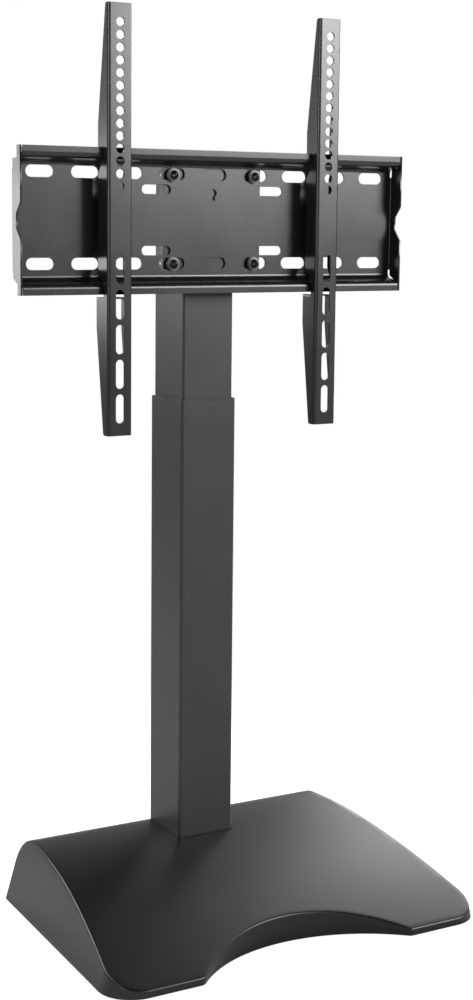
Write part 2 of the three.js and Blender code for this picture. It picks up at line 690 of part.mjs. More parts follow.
function spindle() {
  const journal = SPINDLE_JOURNAL_DIAMETER / 2;
  const radius = SPINDLE_DIAMETER / 2;
  const collar = SPINDLE_COLLAR_DIAMETER / 2;
  const foot = gearboxTop - SPINDLE_SEAT_DEPTH;
  return turned([
    [0, foot], [journal, foot], [journal, bearingTop + GAP],
    [collar, bearingTop + GAP], [collar, collarTop], [radius, collarTop],
    [radius, SPINDLE_TOP - SPINDLE_END_CHAMFER],
    [radius - SPINDLE_END_CHAMFER, SPINDLE_TOP], [0, SPINDLE_TOP],
  ], SMALL_ROUND_STEPS);
}

function upperBush() {
  const outside = outerBore - 2 * GAP;
  const inside = INNER_SIZE + 2 * GAP;
  const ring = up(
    rectangle(0, 0, outside, outside, OUTER_RADIUS - OUTER_WALL), OUTER_TOP - UPPER_BUSH_DEPTH, OUTER_TOP,
    [rectangle(0, 0, inside, inside, INNER_RADIUS)]);
  const reach = (OUTER_SIZE - inside) / 2;
  const centre = inside / 2 + reach / 2;
  const tab = BUSH_TAB_WIDTH - 2 * GAP;
  let bush = ring;
  for (const side of [-1, 1]) {
    bush = bush.add(up(rectangle(side * centre, 0, reach, tab), OUTER_TOP - BUSH_TAB_DEPTH + GAP, OUTER_TOP));
    bush = bush.add(up(rectangle(0, side * centre, tab, reach), OUTER_TOP - BUSH_TAB_DEPTH + GAP, OUTER_TOP));
  }
  return bush;
}

function controlBox() {
  const bottom = plateTop + GAP;
  const left = -bossX + BOSS_DIAMETER / 2 + BOX_MARGIN;
  const width = -FOOT_WIDTH / 2 - BOX_MARGIN - left;
  const outline = rectangle(left + width / 2, BOX_CENTRE_Y, width, BOX_DEPTH, BOX_EDGE_RADIUS);
  let box = up(outline, bottom, bottom + BOX_HEIGHT);
  const pitch = width / (BOX_RIB_COUNT + 1);
  for (let i = 1; i <= BOX_RIB_COUNT; i += 1) {
    const x = left + i * pitch;
    const groove = up(
      rectangle(x, BOX_CENTRE_Y, BOX_RIB_WIDTH, BOX_DEPTH - 2 * BOX_EDGE_RADIUS),
      bottom + BOX_HEIGHT - BOX_RIB_DEPTH, bottom + BOX_HEIGHT + OVERRUN);
    box = box.subtract(groove);
  }
  return box;
}

function powerInlet() {
  const middle = INLET_BOTTOM + INLET_HEIGHT / 2;
  const back = rearY - INLET_REAR_SET;
  const outside = rectangle(INLET_X, middle, INLET_WIDTH, INLET_HEIGHT, INLET_RADIUS);
  const pocketWidth = INLET_WIDTH - 2 * INLET_POCKET_MARGIN;
  const pocketHeight = INLET_HEIGHT - 2 * INLET_POCKET_MARGIN;
  const pocket = rectangle(INLET_X, middle, pocketWidth, pocketHeight, INLET_RADIUS / 2);
  const body = deep(outside, back - INLET_LENGTH, back);
  return body.subtract(deep(pocket, back - INLET_POCKET_DEPTH, back + OVERRUN));
}

// Lifting tube with its glide, nut and cap
const innerBore = INNER_SIZE - 2 * INNER_WALL;
const headScrewLevels = [-1, 1].map((side) => carrierMiddle + side * HEAD_SCREW_SPACING / 2);

function innerTube() {
  const bore = rectangle(0, 0, innerBore, innerBore, INNER_RADIUS - INNER_WALL);
  let tube = up(rectangle(0, 0, INNER_SIZE, INNER_SIZE, INNER_RADIUS), innerBottom, innerTop, [bore]);
  for (const z of headScrewLevels) {
    const hole = disc(0, z, HEAD_SCREW_DIAMETER + 2 * GAP, SMALL_ROUND_STEPS);
    tube = tube.subtract(across(hole, -INNER_SIZE, INNER_SIZE));
  }
  return tube;
}

function lowerGlide() {
  const size = outerBore - 2 * GAP;
  const plug = innerBore - 2 * GAP;
  const hole = disc(0, 0, NUT_DIAMETER + 2 * GAP);
  const collarTopZ = glideBottom + GLIDE_COLLAR_HEIGHT;
  const collar = up(rectangle(0, 0, size, size, OUTER_RADIUS - OUTER_WALL), glideBottom, collarTopZ, [hole]);
  const spigot = up(
    rectangle(0, 0, plug, plug, INNER_RADIUS - INNER_WALL), collarTopZ - GAP,
    innerBottom + GLIDE_PLUG_HEIGHT, [hole]);
  const seatTop = glideBottom + NUT_FLANGE_HEIGHT + GAP;
  const seat = up(disc(0, 0, NUT_FLANGE_DIAMETER + 2 * GAP), glideBottom - OVERRUN, seatTop);
  return collar.add(spigot).subtract(seat);
}

function spindleNut() {
  const bore = SPINDLE_DIAMETER / 2 + GAP;
  const flange = NUT_FLANGE_DIAMETER / 2;
  const flangeTop = glideBottom + NUT_FLANGE_HEIGHT;
  const nutTop = glideBottom + NUT_HEIGHT;
  return turned([
    [bore, glideBottom], [flange, glideBottom], [flange, flangeTop],
    [NUT_DIAMETER / 2, flangeTop], [NUT_DIAMETER / 2, nutTop], [bore, nutTop], [bore, glideBottom],
  ]);
}

function tubeCap() {
  const lidBottom = innerTop + GAP;
  const lid = up(rectangle(0, 0, INNER_SIZE, INNER_SIZE, INNER_RADIUS), lidBottom, lidBottom + CAP_THICKNESS);
  const plug = innerBore - 2 * GAP;
  const inner = plug - 2 * CAP_SPIGOT_WALL;
  const spigot = up(
    rectangle(0, 0, plug, plug, INNER_RADIUS - INNER_WALL), innerTop - CAP_SPIGOT, innerTop + 2 * GAP,
    [rectangle(0, 0, inner, inner)]);
  return lid.add(spigot);
}

// Head bracket: the plate that the carrier bolts to, with a cheek on each side of the tube
const headBoltPlaces = [];
for (const side of [-1, 1]) {
  for (const row of [1, -1]) {
    headBoltPlaces.push([side * HEAD_BOLT_SPACING / 2, rowMiddle + row * WIDE_SLOT_ROWS / 2]);
  }
}

function headBracket() {
  const back = headPlateFront + HEAD_PLATE_THICKNESS;
  const width = HEAD_BOLT_SPACING + 2 * HEAD_PLATE_SIDE_EDGE;
  const height = WIDE_SLOT_ROWS + 2 * HEAD_PLATE_ROW_EDGE;
  const sheet = rectangle(0, carrierMiddle, width, height, HEAD_PLATE_CORNER_RADIUS);
  const plate = deep(sheet, headPlateFront, back, headBoltPlaces.map(
    ([x, z]) => disc(x, z, HEAD_BOLT_DIAMETER + 2 * GAP, SMALL_ROUND_STEPS)));
  let bracket = plate;
  for (const side of [-1, 1]) {
    const inside = INNER_SIZE / 2 + GAP;
    const cheekTop = carrierMiddle + HEAD_CHEEK_HEIGHT / 2;
    const cheekBottom = carrierMiddle - HEAD_CHEEK_HEIGHT / 2;
    const outline = roundedOutline([
      { x: back - GAP, y: cheekBottom, radius: 0 },
      { x: back + HEAD_CHEEK_DEPTH, y: cheekBottom, radius: HEAD_CHEEK_CORNER_RADIUS },
      { x: back + HEAD_CHEEK_DEPTH, y: cheekTop, radius: HEAD_CHEEK_CORNER_RADIUS },
      { x: back - GAP, y: cheekTop, radius: 0 },
    ]);
    const holes = headScrewLevels.map((z) => disc(0, z, HEAD_SCREW_DIAMETER + 2 * GAP, SMALL_ROUND_STEPS));
    const from = side > 0 ? inside : -inside - HEAD_CHEEK_THICKNESS;
    bracket = bracket.add(across(outline, from, from + HEAD_CHEEK_THICKNESS, holes));
  }
  return bracket;
}

// Carrier plate: lips top and bottom, notched side flanges, two rows of slots
function carrierPlate() {
  const face = carrierFace + CARRIER_SHEET / 2;
  const lip = lipFront + CARRIER_SHEET / 2;
  const section = foldedSection([
    [lip, CARRIER_TOP], [lip, CARRIER_TOP - CARRIER_LIP], [face, faceTop],
    [face, faceBottom], [lip, carrierBottom + CARRIER_LIP], [lip, carrierBottom],
  ], CARRIER_SHEET, CARRIER_BEND_RADIUS);
  const half = CARRIER_WIDTH / 2;
  const inner = half - CARRIER_SHEET;
  let plate = across(section, -inner + FLANGE_SLIT, inner - FLANGE_SLIT);
  const relief = CARRIER_BEND_RADIUS + CORNER_RELIEF / 2;
  const sheetSpan = faceTop - faceBottom - 2 * relief;
  const middleSheet = rectangle(0, carrierMiddle, 2 * inner + CARRIER_SHEET, sheetSpan);
  plate = plate.add(deep(middleSheet, carrierFace, carrierBack));
  for (const side of [-1, 1]) {
    const stepY = carrierBack - FLANGE_STEP_DEPTH;
    const flange = [
      [carrierBack, faceBottom + relief], [carrierBack, CARRIER_TOP - FLANGE_TOP_STEP],
      [stepY, CARRIER_TOP - FLANGE_TOP_STEP], [stepY, CARRIER_TOP],
      [lipFront, CARRIER_TOP], [lipFront, carrierMiddle + FLANGE_NOTCH_OPENING / 2],
      [lipFront + FLANGE_NOTCH_DEPTH, carrierMiddle + FLANGE_NOTCH_FLOOR / 2],
      [lipFront + FLANGE_NOTCH_DEPTH, carrierMiddle - FLANGE_NOTCH_FLOOR / 2],
      [lipFront, carrierMiddle - FLANGE_NOTCH_OPENING / 2], [lipFront, carrierBottom],
      [stepY, carrierBottom], [stepY, carrierBottom + FLANGE_BOTTOM_STEP],
      [carrierBack, carrierBottom + FLANGE_BOTTOM_STEP + FLANGE_BOTTOM_RUN],
    ].map(([x, y]) => new THREE.Vector2(x, y));
    const from = side > 0 ? inner : -half;
    plate = plate.add(across(flange, from, from + CARRIER_SHEET));
  }
  const cuts = [];
  const middleCount = (WIDE_SLOT_COUNT - 1) / 2;
  const pitch = (half - WIDE_SLOT_EDGE) / middleCount;
  for (const row of [-1, 1]) {
    for (let i = 0; i < WIDE_SLOT_COUNT; i += 1) {
      const x = (i - middleCount) * pitch;
      cuts.push(slot(x, rowMiddle + row * WIDE_SLOT_ROWS / 2, WIDE_SLOT_LENGTH, WIDE_SLOT_HEIGHT));
    }
    for (const side of [-1, 1]) {
      const x = side * SMALL_SLOT_SPACING / 2;
      cuts.push(slot(x, rowMiddle + row * SMALL_SLOT_ROWS / 2, SMALL_SLOT_LENGTH, SMALL_SLOT_HEIGHT));
    }
  }
  cuts.push(disc(0, rowMiddle + KEYHOLE_ABOVE_MIDDLE, KEYHOLE_DIAMETER, SMALL_ROUND_STEPS));
  for (const cut of cuts) {
    plate = plate.subtract(deep(cut, carrierFace - GAP, carrierBack + GAP));
  }
  const stemZ = rowMiddle + KEYHOLE_ABOVE_MIDDLE - KEYHOLE_DIAMETER / 2;
  const stem = slot(0, stemZ, KEYHOLE_STEM_WIDTH, 2 * KEYHOLE_STEM_LENGTH);
  return plate.subtract(deep(stem, carrierFace - GAP, carrierBack + GAP));
}

function headBolt(x, z) {
  const seat = carrierFace - GAP - WASHER_THICKNESS - GAP;
  const length = headPlateFront + HEAD_PLATE_THICKNESS + HEAD_BOLT_TAIL - seat;
  const radius = HEAD_BOLT_CAP_DIAMETER / 2;
  const dome = Array.from({ length: DOME_STEPS + 1 }, (_, k) => {
    const turn = Math.PI / 2 * k / DOME_STEPS;
    return [radius * Math.sin(turn), -HEAD_BOLT_CAP_HEIGHT * Math.cos(turn)];
  });
  const body = turned([...dome, [HEAD_BOLT_DIAMETER / 2, 0], [HEAD_BOLT_DIAMETER / 2, length], [0, length]]);
  const bolt = solidOf(body.rotateX(-Math.PI / 2).translate(x, seat, z));
  const front = seat - HEAD_BOLT_CAP_HEIGHT;
  const flat = rectangle(x, z, CROSS_RECESS_LENGTH, CROSS_RECESS_WIDTH);
  const upright = rectangle(x, z, CROSS_RECESS_WIDTH, CROSS_RECESS_LENGTH);
  return [flat, upright].reduce(
    (rest, cut) => rest.subtract(deep(cut, front - GAP, front + CROSS_RECESS_DEPTH)), bolt);
}

function washer(x, z) {
  const back = carrierFace - GAP;
  const bore = disc(x, z, HEAD_BOLT_DIAMETER + 2 * GAP);
  return deep(disc(x, z, WASHER_DIAMETER), back - WASHER_THICKNESS, back, [bore]);
}

function headNut(x, z) {
  const front = headPlateFront + HEAD_PLATE_THICKNESS + GAP;
  const acrossCorners = NUT_ACROSS / Math.cos(Math.PI / NUT_SIDES);
  const bore = disc(x, z, HEAD_BOLT_DIAMETER + 2 * GAP, SMALL_ROUND_STEPS);
  return deep(disc(x, z, acrossCorners, NUT_SIDES), front, front + NUT_THICKNESS, [bore]);
}

function headScrew(side, z) {
  const seat = INNER_SIZE / 2 + GAP + HEAD_CHEEK_THICKNESS + GAP;
  const body = headedScrew(HEAD_SCREW_DIAMETER, HEAD_SCREW_HEAD_DIAMETER, HEAD_SCREW_HEAD_HEIGHT,
    HEAD_CHEEK_THICKNESS + INNER_WALL + HEAD_SCREW_REACH);
  return body.rotateY(-side * Math.PI / 2).translate(side * seat, 0, z);
}

// Hanger arm at X = 0: a folded channel, hooked over the carrier's top lip
function hangerArm() {
  const half = ARM_WIDTH / 2 - ARM_SHEET / 2;
  const face = armFront + ARM_SHEET / 2;
  const open = armFront + ARM_DEPTH + OVERRUN;
  const channel = foldedSection(
    [[-half, open], [-half, face], [half, face], [half, open]], ARM_SHEET, ARM_BEND_RADIUS);
  const back = armFront + ARM_DEPTH;
  const upperBack = armFront + ARM_UPPER_DEPTH;
  const topEnd = armFront + ARM_TOP_END_DEPTH;
  const bottomEnd = armFront + ARM_BOTTOM_END_DEPTH;
  const hookFront = lipFront - HOOK_CLEARANCE;
  const hookBack = lipFront + CARRIER_SHEET + HOOK_CLEARANCE;
  const toothTip = CARRIER_TOP - HOOK_TOOTH;
  const webSpan = CARRIER_LIP + CARRIER_BEND_RADIUS;
  const outline = roundedOutline([
    { x: armFront, y: armTop, radius: 0 },
    { x: armFront, y: armBottom, radius: 0 },
    { x: bottomEnd, y: armBottom, radius: ARM_END_ROUND },
    { x: back, y: shoulderZ - ARM_BOTTOM_STRAIGHT, radius: ARM_END_ROUND },
    { x: back, y: shoulderZ, radius: 0 },
    { x: hookFront, y: shoulderZ, radius: 0 },
    { x: hookFront, y: carrierBottom + webSpan, radius: 0 },
    { x: upperBack, y: faceBottom + CARRIER_WEB_RISE, radius: 0 },
    { x: upperBack, y: faceTop - CARRIER_WEB_RISE, radius: 0 },
    { x: hookFront, y: CARRIER_TOP - webSpan, radius: 0 },
    { x: hookFront, y: CARRIER_TOP + HOOK_CLEARANCE, radius: 0 },
    { x: hookBack, y: CARRIER_TOP + HOOK_CLEARANCE, radius: 0 },
    { x: hookBack, y: toothTip, radius: 0 },
    { x: upperBack, y: toothTip, radius: HOOK_CLEARANCE },
    { x: upperBack, y: armTop - ARM_TOP_TAPER, radius: ARM_END_ROUND },
    { x: topEnd, y: armTop, radius: ARM_END_ROUND },
  ]);
  let arm = up(channel, armBottom - OVERRUN, armTop + OVERRUN);
  arm = arm.intersect(across(outline, -ARM_WIDTH, ARM_WIDTH));
  for (let i = 0; i < ARM_HOLE_COUNT; i += 1) {
    const hole = disc(0, armTop - ARM_FIRST_HOLE - i * ARM_HOLE_PITCH, ARM_HOLE_DIAMETER, SMALL_ROUND_STEPS);
    arm = arm.subtract(deep(hole, armFront - GAP, armFront + ARM_SHEET + GAP));
  }
  for (let i = 0; i < ARM_SLOT_COUNT; i += 1) {
    const cut = slot(0, armBottom + ARM_LAST_SLOT + i * ARM_SLOT_PITCH, ARM_SLOT_WIDTH, ARM_SLOT_LENGTH);
    arm = arm.subtract(deep(cut, armFront - GAP, armFront + ARM_SHEET + GAP));
  }
  return geometryOf(arm);
}

const lockScrewY = (lipFront + CARRIER_SHEET + armFront + ARM_DEPTH) / 2;

function lockStrip() {
  const front = lipFront - HOOK_CLEARANCE;
  const back = armFront + ARM_DEPTH;
  const outline = rectangle(0, (front + back) / 2 + GAP, ARM_WIDTH, back - front - 2 * GAP);
  const bore = disc(0, lockScrewY, LOCK_SCREW_DIAMETER + 2 * GAP, SMALL_ROUND_STEPS);
  return geometryOf(up(outline, shoulderZ + GAP, shoulderZ + GAP + STRIP_THICKNESS, [bore]));
}

function lockScrew() {
  const length = STRIP_THICKNESS + GAP + LOCK_SCREW_REACH;
  return headedScrew(LOCK_SCREW_DIAMETER, LOCK_SCREW_HEAD_DIAMETER, LOCK_SCREW_HEAD_HEIGHT, length)
    .translate(0, lockScrewY, shoulderZ);
}

// Materials
const paint = new THREE.MeshStandardMaterial({ color: 0x3a3b3d, roughness: 0.55, metalness: 0.2 });
const hoodFinish = new THREE.MeshStandardMaterial({ color: 0x2c2d2f, roughness: 0.5, metalness: 0 });
const steel = new THREE.MeshStandardMaterial({ color: 0x8d9093, roughness: 0.35, metalness: 0.9 });
const darkSteel = new THREE.MeshStandardMaterial({ color: 0x2f3032, roughness: 0.45, metalness: 0.6 });
const rubber = new THREE.MeshStandardMaterial({ color: 0x1b1b1c, roughness: 0.9, metalness: 0 });
const plastic = new THREE.MeshStandardMaterial({ color: 0x1f2021, roughness: 0.6, metalness: 0 });
const naturalPlastic = new THREE.MeshStandardMaterial({ color: 0xd9d6cc, roughness: 0.5, metalness: 0 });
const brass = new THREE.MeshStandardMaterial({ color: 0xb08d4a, roughness: 0.4, metalness: 0.9 });

// Assembly: the stand, the column's lifting part, and the two arms on it
const stand = new THREE.Group();
const lift = new THREE.Group();
const armLeft = new THREE.Group();
const armRight = new THREE.Group();

function place(group, name, shape, material) {
  const geometry = shape.isBufferGeometry ? shape : geometryOf(shape);
  const mesh = new THREE.Mesh(geometry, material);
  mesh.name = name;
  group.add(mesh);
  return mesh;
}

place(stand, 'base_hood', hood(), hoodFinish);
place(stand, 'base_plate', basePlate(), paint);
for (const [corner, [x, y]] of Object.entries(padPlaces)) {
  place(stand, `pad_${corner}`, up(disc(x, y, PAD_DIAMETER), 0, PAD_HEIGHT), rubber);
}
bossPlaces.forEach(([x, y], i) => {
  const length = BASE_PLATE_THICKNESS + HOOD_SCREW_REACH;
  const screw = headedScrew(HOOD_SCREW_DIAMETER, HOOD_SCREW_HEAD_DIAMETER, HOOD_SCREW_HEAD_HEIGHT, length);
  place(stand, `hood_screw_${i + 1}`, screw.translate(x, y, plateBottom - GAP), steel);
});
place(stand, 'outer_column', outerColumn(), paint);
footBoltPlaces.forEach(([x, y], i) => {
  const body = headedScrew(FOOT_BOLT_DIAMETER, FOOT_BOLT_HEAD, FOOT_BOLT_HEAD_HEIGHT,
    GAP + FOOT_THICKNESS + GAP + BASE_PLATE_THICKNESS);
  place(stand, `foot_bolt_${i + 1}`, body.rotateX(Math.PI).translate(x, y, footTop + GAP), steel);
});
place(stand, 'gearbox', gearbox(), plastic);
place(stand, 'motor', motor(), steel);
place(stand, 'motor_clamp', motorClamp(), steel);
place(stand, 'spindle_bearing', bearing(), steel);
place(stand, 'spindle', spindle(), steel);
place(stand, 'upper_glide_bush', upperBush(), plastic);
place(stand, 'control_box', controlBox(), plastic);
place(stand, 'power_inlet', powerInlet(), plastic);

place(lift, 'lifting_tube', innerTube(), paint);
place(lift, 'lower_glide', lowerGlide(), naturalPlastic);
place(lift, 'spindle_nut', spindleNut(), brass);
place(lift, 'tube_cap', tubeCap(), plastic);
place(lift, 'head_bracket', headBracket(), paint);
for (const side of [-1, 1]) {
  headScrewLevels.forEach((z, i) => {
    place(lift, `head_screw_${side < 0 ? 'left' : 'right'}_${i + 1}`, headScrew(side, z), darkSteel);
  });
}
place(lift, 'carrier_plate', carrierPlate(), paint);
headBoltPlaces.forEach(([x, z], i) => {
  place(lift, `head_bolt_${i + 1}`, headBolt(x, z), darkSteel);
  place(lift, `head_washer_${i + 1}`, washer(x, z), darkSteel);
  place(lift, `head_nut_${i + 1}`, headNut(x, z), steel);
});

const armShape = hangerArm();
const stripShape = lockStrip();
const screwShape = lockScrew();
for (const [group, side, x] of [[armLeft, 'left', ARM_LEFT_X], [armRight, 'right', ARM_RIGHT_X]]) {
  place(group, `hanger_arm_${side}`, armShape, paint);
  place(group, `lock_strip_${side}`, stripShape, darkSteel);
  place(group, `lock_screw_${side}`, screwShape, darkSteel);
  group.position.x = x;
  lift.add(group);
}

// The origin lies on the floor under the middle of the base
stand.add(lift);
stand.position.y = BASE_DEPTH / 2 - COLUMN_SETBACK;
const model = new THREE.Group();
model.add(stand);

export default model;
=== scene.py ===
"""A floor stand for a flat display: hood base, lifting column, carrier plate and hanger arms."""
import math

import bmesh
import bpy
import numpy as np
from mathutils import Matrix, Vector
from mathutils.geometry import delaunay_2d_cdt


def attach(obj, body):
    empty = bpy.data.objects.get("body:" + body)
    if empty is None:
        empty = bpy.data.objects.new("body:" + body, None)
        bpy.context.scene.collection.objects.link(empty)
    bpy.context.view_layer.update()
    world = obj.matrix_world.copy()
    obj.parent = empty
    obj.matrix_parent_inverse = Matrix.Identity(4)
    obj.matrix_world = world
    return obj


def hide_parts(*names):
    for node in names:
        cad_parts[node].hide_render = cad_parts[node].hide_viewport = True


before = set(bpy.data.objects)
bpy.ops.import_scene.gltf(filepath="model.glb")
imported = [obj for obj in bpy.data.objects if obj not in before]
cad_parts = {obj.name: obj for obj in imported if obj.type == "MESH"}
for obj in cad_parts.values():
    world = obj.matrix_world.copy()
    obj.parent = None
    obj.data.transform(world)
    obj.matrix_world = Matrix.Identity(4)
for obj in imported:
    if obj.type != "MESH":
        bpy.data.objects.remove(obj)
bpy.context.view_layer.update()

# Camera. It stands in front and to the left of the stand, a little above its middle, and looks
# down and to the right by the angles at which the stand was photographed.
YAW, PITCH, ROLL = (math.radians(angle) for angle in (31.81, 8.53, 0.59))
CAMERA_PLACE = (-1.03995, -1.68013, 0.75522)
LENS, NEAR_CLIP = 67.49, 0.05
look = Vector((math.sin(YAW) * math.cos(PITCH), math.cos(YAW) * math.cos(PITCH), -math.sin(PITCH)))
level = Vector((math.cos(YAW), -math.sin(YAW), 0.0))
right = level * math.cos(ROLL) + level.cross(look) * math.sin(ROLL)
camera_data = bpy.data.cameras.new("camera")
camera_data.lens, camera_data.clip_start = LENS, NEAR_CLIP
camera = bpy.data.objects.new("camera", camera_data)
turn = Matrix((right, right.cross(look), -look)).transposed().to_4x4()
camera.matrix_world = Matrix.Translation(CAMERA_PLACE) @ turn
bpy.context.collection.objects.link(camera)
bpy.context.scene.camera = camera
bpy.context.scene.view_settings.view_transform = "Standard"

# Paper sweep. The stand is photographed on matt white paper, which keeps its soft shadow
# close to the base and runs out to plain white further away. Light and shade are painted on
# the paper: lighter on the left of the base and darker away from it, for the coats to reflect.
PAPER_REACH, PAPER_LIFT = 12.0, 0.80
PAPER_ROUGH, PAPER_SPECULAR = 0.95, 0.1
LIT_PAPER_PLACE, LIT_PAPER_TINT, SHADED_PAPER_TINT = (-0.6, 0.0, 0.0), (0.88, 0.88, 0.88), (0.55, 0.55, 0.55)
PAPER_SHADE_REACH, PLAIN_REACH = (0.2, 0.6), (0.5, 1.1)


class Wire:
    """One node's output; plain operators between wires add the Math nodes that work them out."""

    def __init__(self, finish, socket):
        self.finish, self.socket = finish, socket

    def math(self, operation, *values):
        """Result of one Math node on the given wires and numbers."""
        return self.finish.node("ShaderNodeMath", {"operation": operation}, dict(enumerate(values)))

    def __add__(self, other):
        return self.math("ADD", self, other)

    def __sub__(self, other):
        return self.math("SUBTRACT", self, other)

    def __rsub__(self, other):
        return self.math("SUBTRACT", other, self)

    def __mul__(self, other):
        return self.math("MULTIPLY", self, other)

    __radd__, __rmul__ = __add__, __mul__

    def within(self, low, high):
        """This value, kept from going below low or above high."""
        return self.math("MAXIMUM", self.math("MINIMUM", self, high), low)

    def ease(self, start, end, low=0.0, high=1.0):
        """Smooth step from low to high while this value goes from start to end."""
        return self.finish.node("ShaderNodeMapRange", {"interpolation_type": "SMOOTHSTEP"}, {
            "Value": self, "From Min": start, "From Max": end, "To Min": low, "To Max": high})


class Finish:
    """A node tree being built, whose methods add nodes and hand back their outputs as wires."""

    def __init__(self, tree):
        self.tree = tree

    def node(self, kind, settings, sockets, out=0):
        """One node from its type, its settings and the values or wires of its sockets."""
        made = self.tree.nodes.new(kind)
        for key, value in settings.items():
            setattr(made, key, value)
        for key, value in sockets.items():
            if isinstance(value, Wire):
                self.tree.links.new(value.socket, made.inputs[key])
            else:
                made.inputs[key].default_value = value
        return Wire(self, made.outputs[out])

    def place(self):
        """Object coordinates."""
        return self.node("ShaderNodeTexCoord", {}, {}, "Object")

    def along(self, axis):
        """The object coordinate on one axis: X, Y or Z."""
        return self.node("ShaderNodeSeparateXYZ", {}, {0: self.place()}, axis)

    def ray(self, kind):
        """1 on rays of one kind, such as Camera or Glossy, and 0 on all others."""
        return self.node("ShaderNodeLightPath", {}, {}, f"Is {kind} Ray")

    def noise(self, size, detail=2.0, roughness=0.5):
        """Cloudy value round 0.5 whose spots are about size metres across."""
        return self.node("ShaderNodeTexNoise", {}, {
            "Vector": self.place(), "Scale": 1.0 / size, "Detail": detail, "Roughness": roughness})

    def tint(self, low, high, factor):
        """Colour that goes from low to high as factor goes from 0 to 1."""
        return self.node("ShaderNodeMix", {"data_type": "RGBA"},
                         {0: factor, 6: (*low, 1.0), 7: (*high, 1.0)}, 2)

    def relief(self, height, depth):
        """Bumps whose full height is depth metres."""
        return self.node("ShaderNodeBump", {}, {
            "Height": height, "Distance": depth, "Strength": 1.0})


def surface(name, shader, wires):
    """Material with constants on the shader's own sockets and wires into those that vary."""
    material = bpy.data.materials.new(name)
    material.use_nodes = True
    finish = Finish(material.node_tree)
    coat = material.node_tree.nodes["Principled BSDF"]
    for socket, value in shader.items():
        coat.inputs[socket].default_value = value
    for socket, wire in wires(finish).items():
        finish.tree.links.new(wire.socket, coat.inputs[socket])
    return material


def mesh_object(name, points, faces, material, normals=None, weld=0.0, sharp=None):
    """Object at the origin from arrays of points and faces; close points are welded first.

    Its points keep the given normals, or its shading breaks at edges over sharp degrees."""
    mesh = bpy.data.meshes.new(name)
    corner_rows = [row for group in faces for row in group.tolist()]
    mesh.from_pydata(np.asarray(points).tolist(), [], corner_rows)
    if normals is not None:
        facing = mesh.attributes.new("facing", "FLOAT_VECTOR", "POINT")
        facing.data.foreach_set("vector", normals.ravel())
    if weld:
        made = bmesh.new()
        made.from_mesh(mesh)
        bmesh.ops.remove_doubles(made, verts=made.verts, dist=weld)
        bmesh.ops.dissolve_degenerate(made, edges=made.edges, dist=weld / 10)
        made.to_mesh(mesh)
        made.free()
    mesh.materials.append(material)
    if normals is not None:
        kept = np.empty(3 * len(mesh.vertices))
        mesh.attributes["facing"].data.foreach_get("vector", kept)
        mesh.attributes.remove(mesh.attributes["facing"])
        mesh.shade_smooth()
        mesh.normals_split_custom_set_from_vertices(kept.reshape(-1, 3).tolist())
    if sharp:
        mesh.shade_smooth()
        mesh.set_sharp_from_angle(angle=math.radians(sharp))
    made = bpy.data.objects.new(name, mesh)
    bpy.context.collection.objects.link(made)
    return made


def painted_paper_light(finish):
    """Painted light and shade on the paper: its tone falls with the distance from its lit place."""
    # Painted light and shade: lighter near the lit place, darker further off.
    from_lit_place = finish.node("ShaderNodeVectorMath", {"operation": "DISTANCE"},
                             {0: finish.place(), 1: LIT_PAPER_PLACE}, "Value")
    return {"Base Color": finish.tint(LIT_PAPER_TINT, SHADED_PAPER_TINT, from_lit_place.ease(*PAPER_SHADE_REACH))}


paper = surface("white_paper", {"Roughness": PAPER_ROUGH, "Specular IOR Level": PAPER_SPECULAR},
                painted_paper_light)
finish = Finish(paper.node_tree)
matt = Wire(finish, paper.node_tree.nodes["Principled BSDF"].outputs[0])
lifted = finish.node("ShaderNodeAddShader", {}, {
    0: matt, 1: finish.node("ShaderNodeEmission", {}, {"Strength": PAPER_LIFT})})
plain = finish.node("ShaderNodeEmission", {}, {"Strength": 1.0})
away = finish.node("ShaderNodeVectorMath", {"operation": "LENGTH"}, {0: finish.place()}, "Value")
shown = finish.node("ShaderNodeMixShader", {}, {0: away.ease(*PLAIN_REACH), 1: lifted, 2: plain})
seen = (finish.ray("Camera") + finish.ray("Transmission")).within(0.0, 1.0)
result = finish.node("ShaderNodeMixShader", {}, {0: seen, 1: matt, 2: shown})
finish.tree.links.new(result.socket, paper.node_tree.nodes["Material Output"].inputs["Surface"])
corners = np.array([(-1, -1, 0), (1, -1, 0), (1, 1, 0), (-1, 1, 0)]) * PAPER_REACH
mesh_object("paper_sweep", corners, [np.array([[0, 1, 2, 3]])], paper)

# Studio room. White walls show low down, and the ceiling above the stand is dim, so that the
# black coats reflect a pale band at eye level and darkness from above.
ROOM_WALL, ROOM_CEILING, ROOM_FILL = 0.65, 0.03, 0.45
WALL_FADE = (0.05, 0.75)
world = bpy.data.worlds.new("studio_room")
bpy.context.scene.world = world
world.use_nodes = True
room = Finish(world.node_tree)
height = room.node("ShaderNodeSeparateXYZ", {}, {
    0: room.node("ShaderNodeTexCoord", {}, {}, "Generated")}, "Z")
glow = height.ease(*WALL_FADE, ROOM_WALL, ROOM_CEILING)
dull = 1 - room.ray("Glossy")
reflected = glow * (1 - dull * (1 - ROOM_FILL))
seen = room.ray("Camera") + room.ray("Transmission")
strength = seen.math("MAXIMUM", seen, reflected)
backdrop = world.node_tree.nodes["Background"]
backdrop.inputs["Color"].default_value = (1.0, 1.0, 1.0, 1.0)
room.tree.links.new(strength.socket, backdrop.inputs["Strength"])

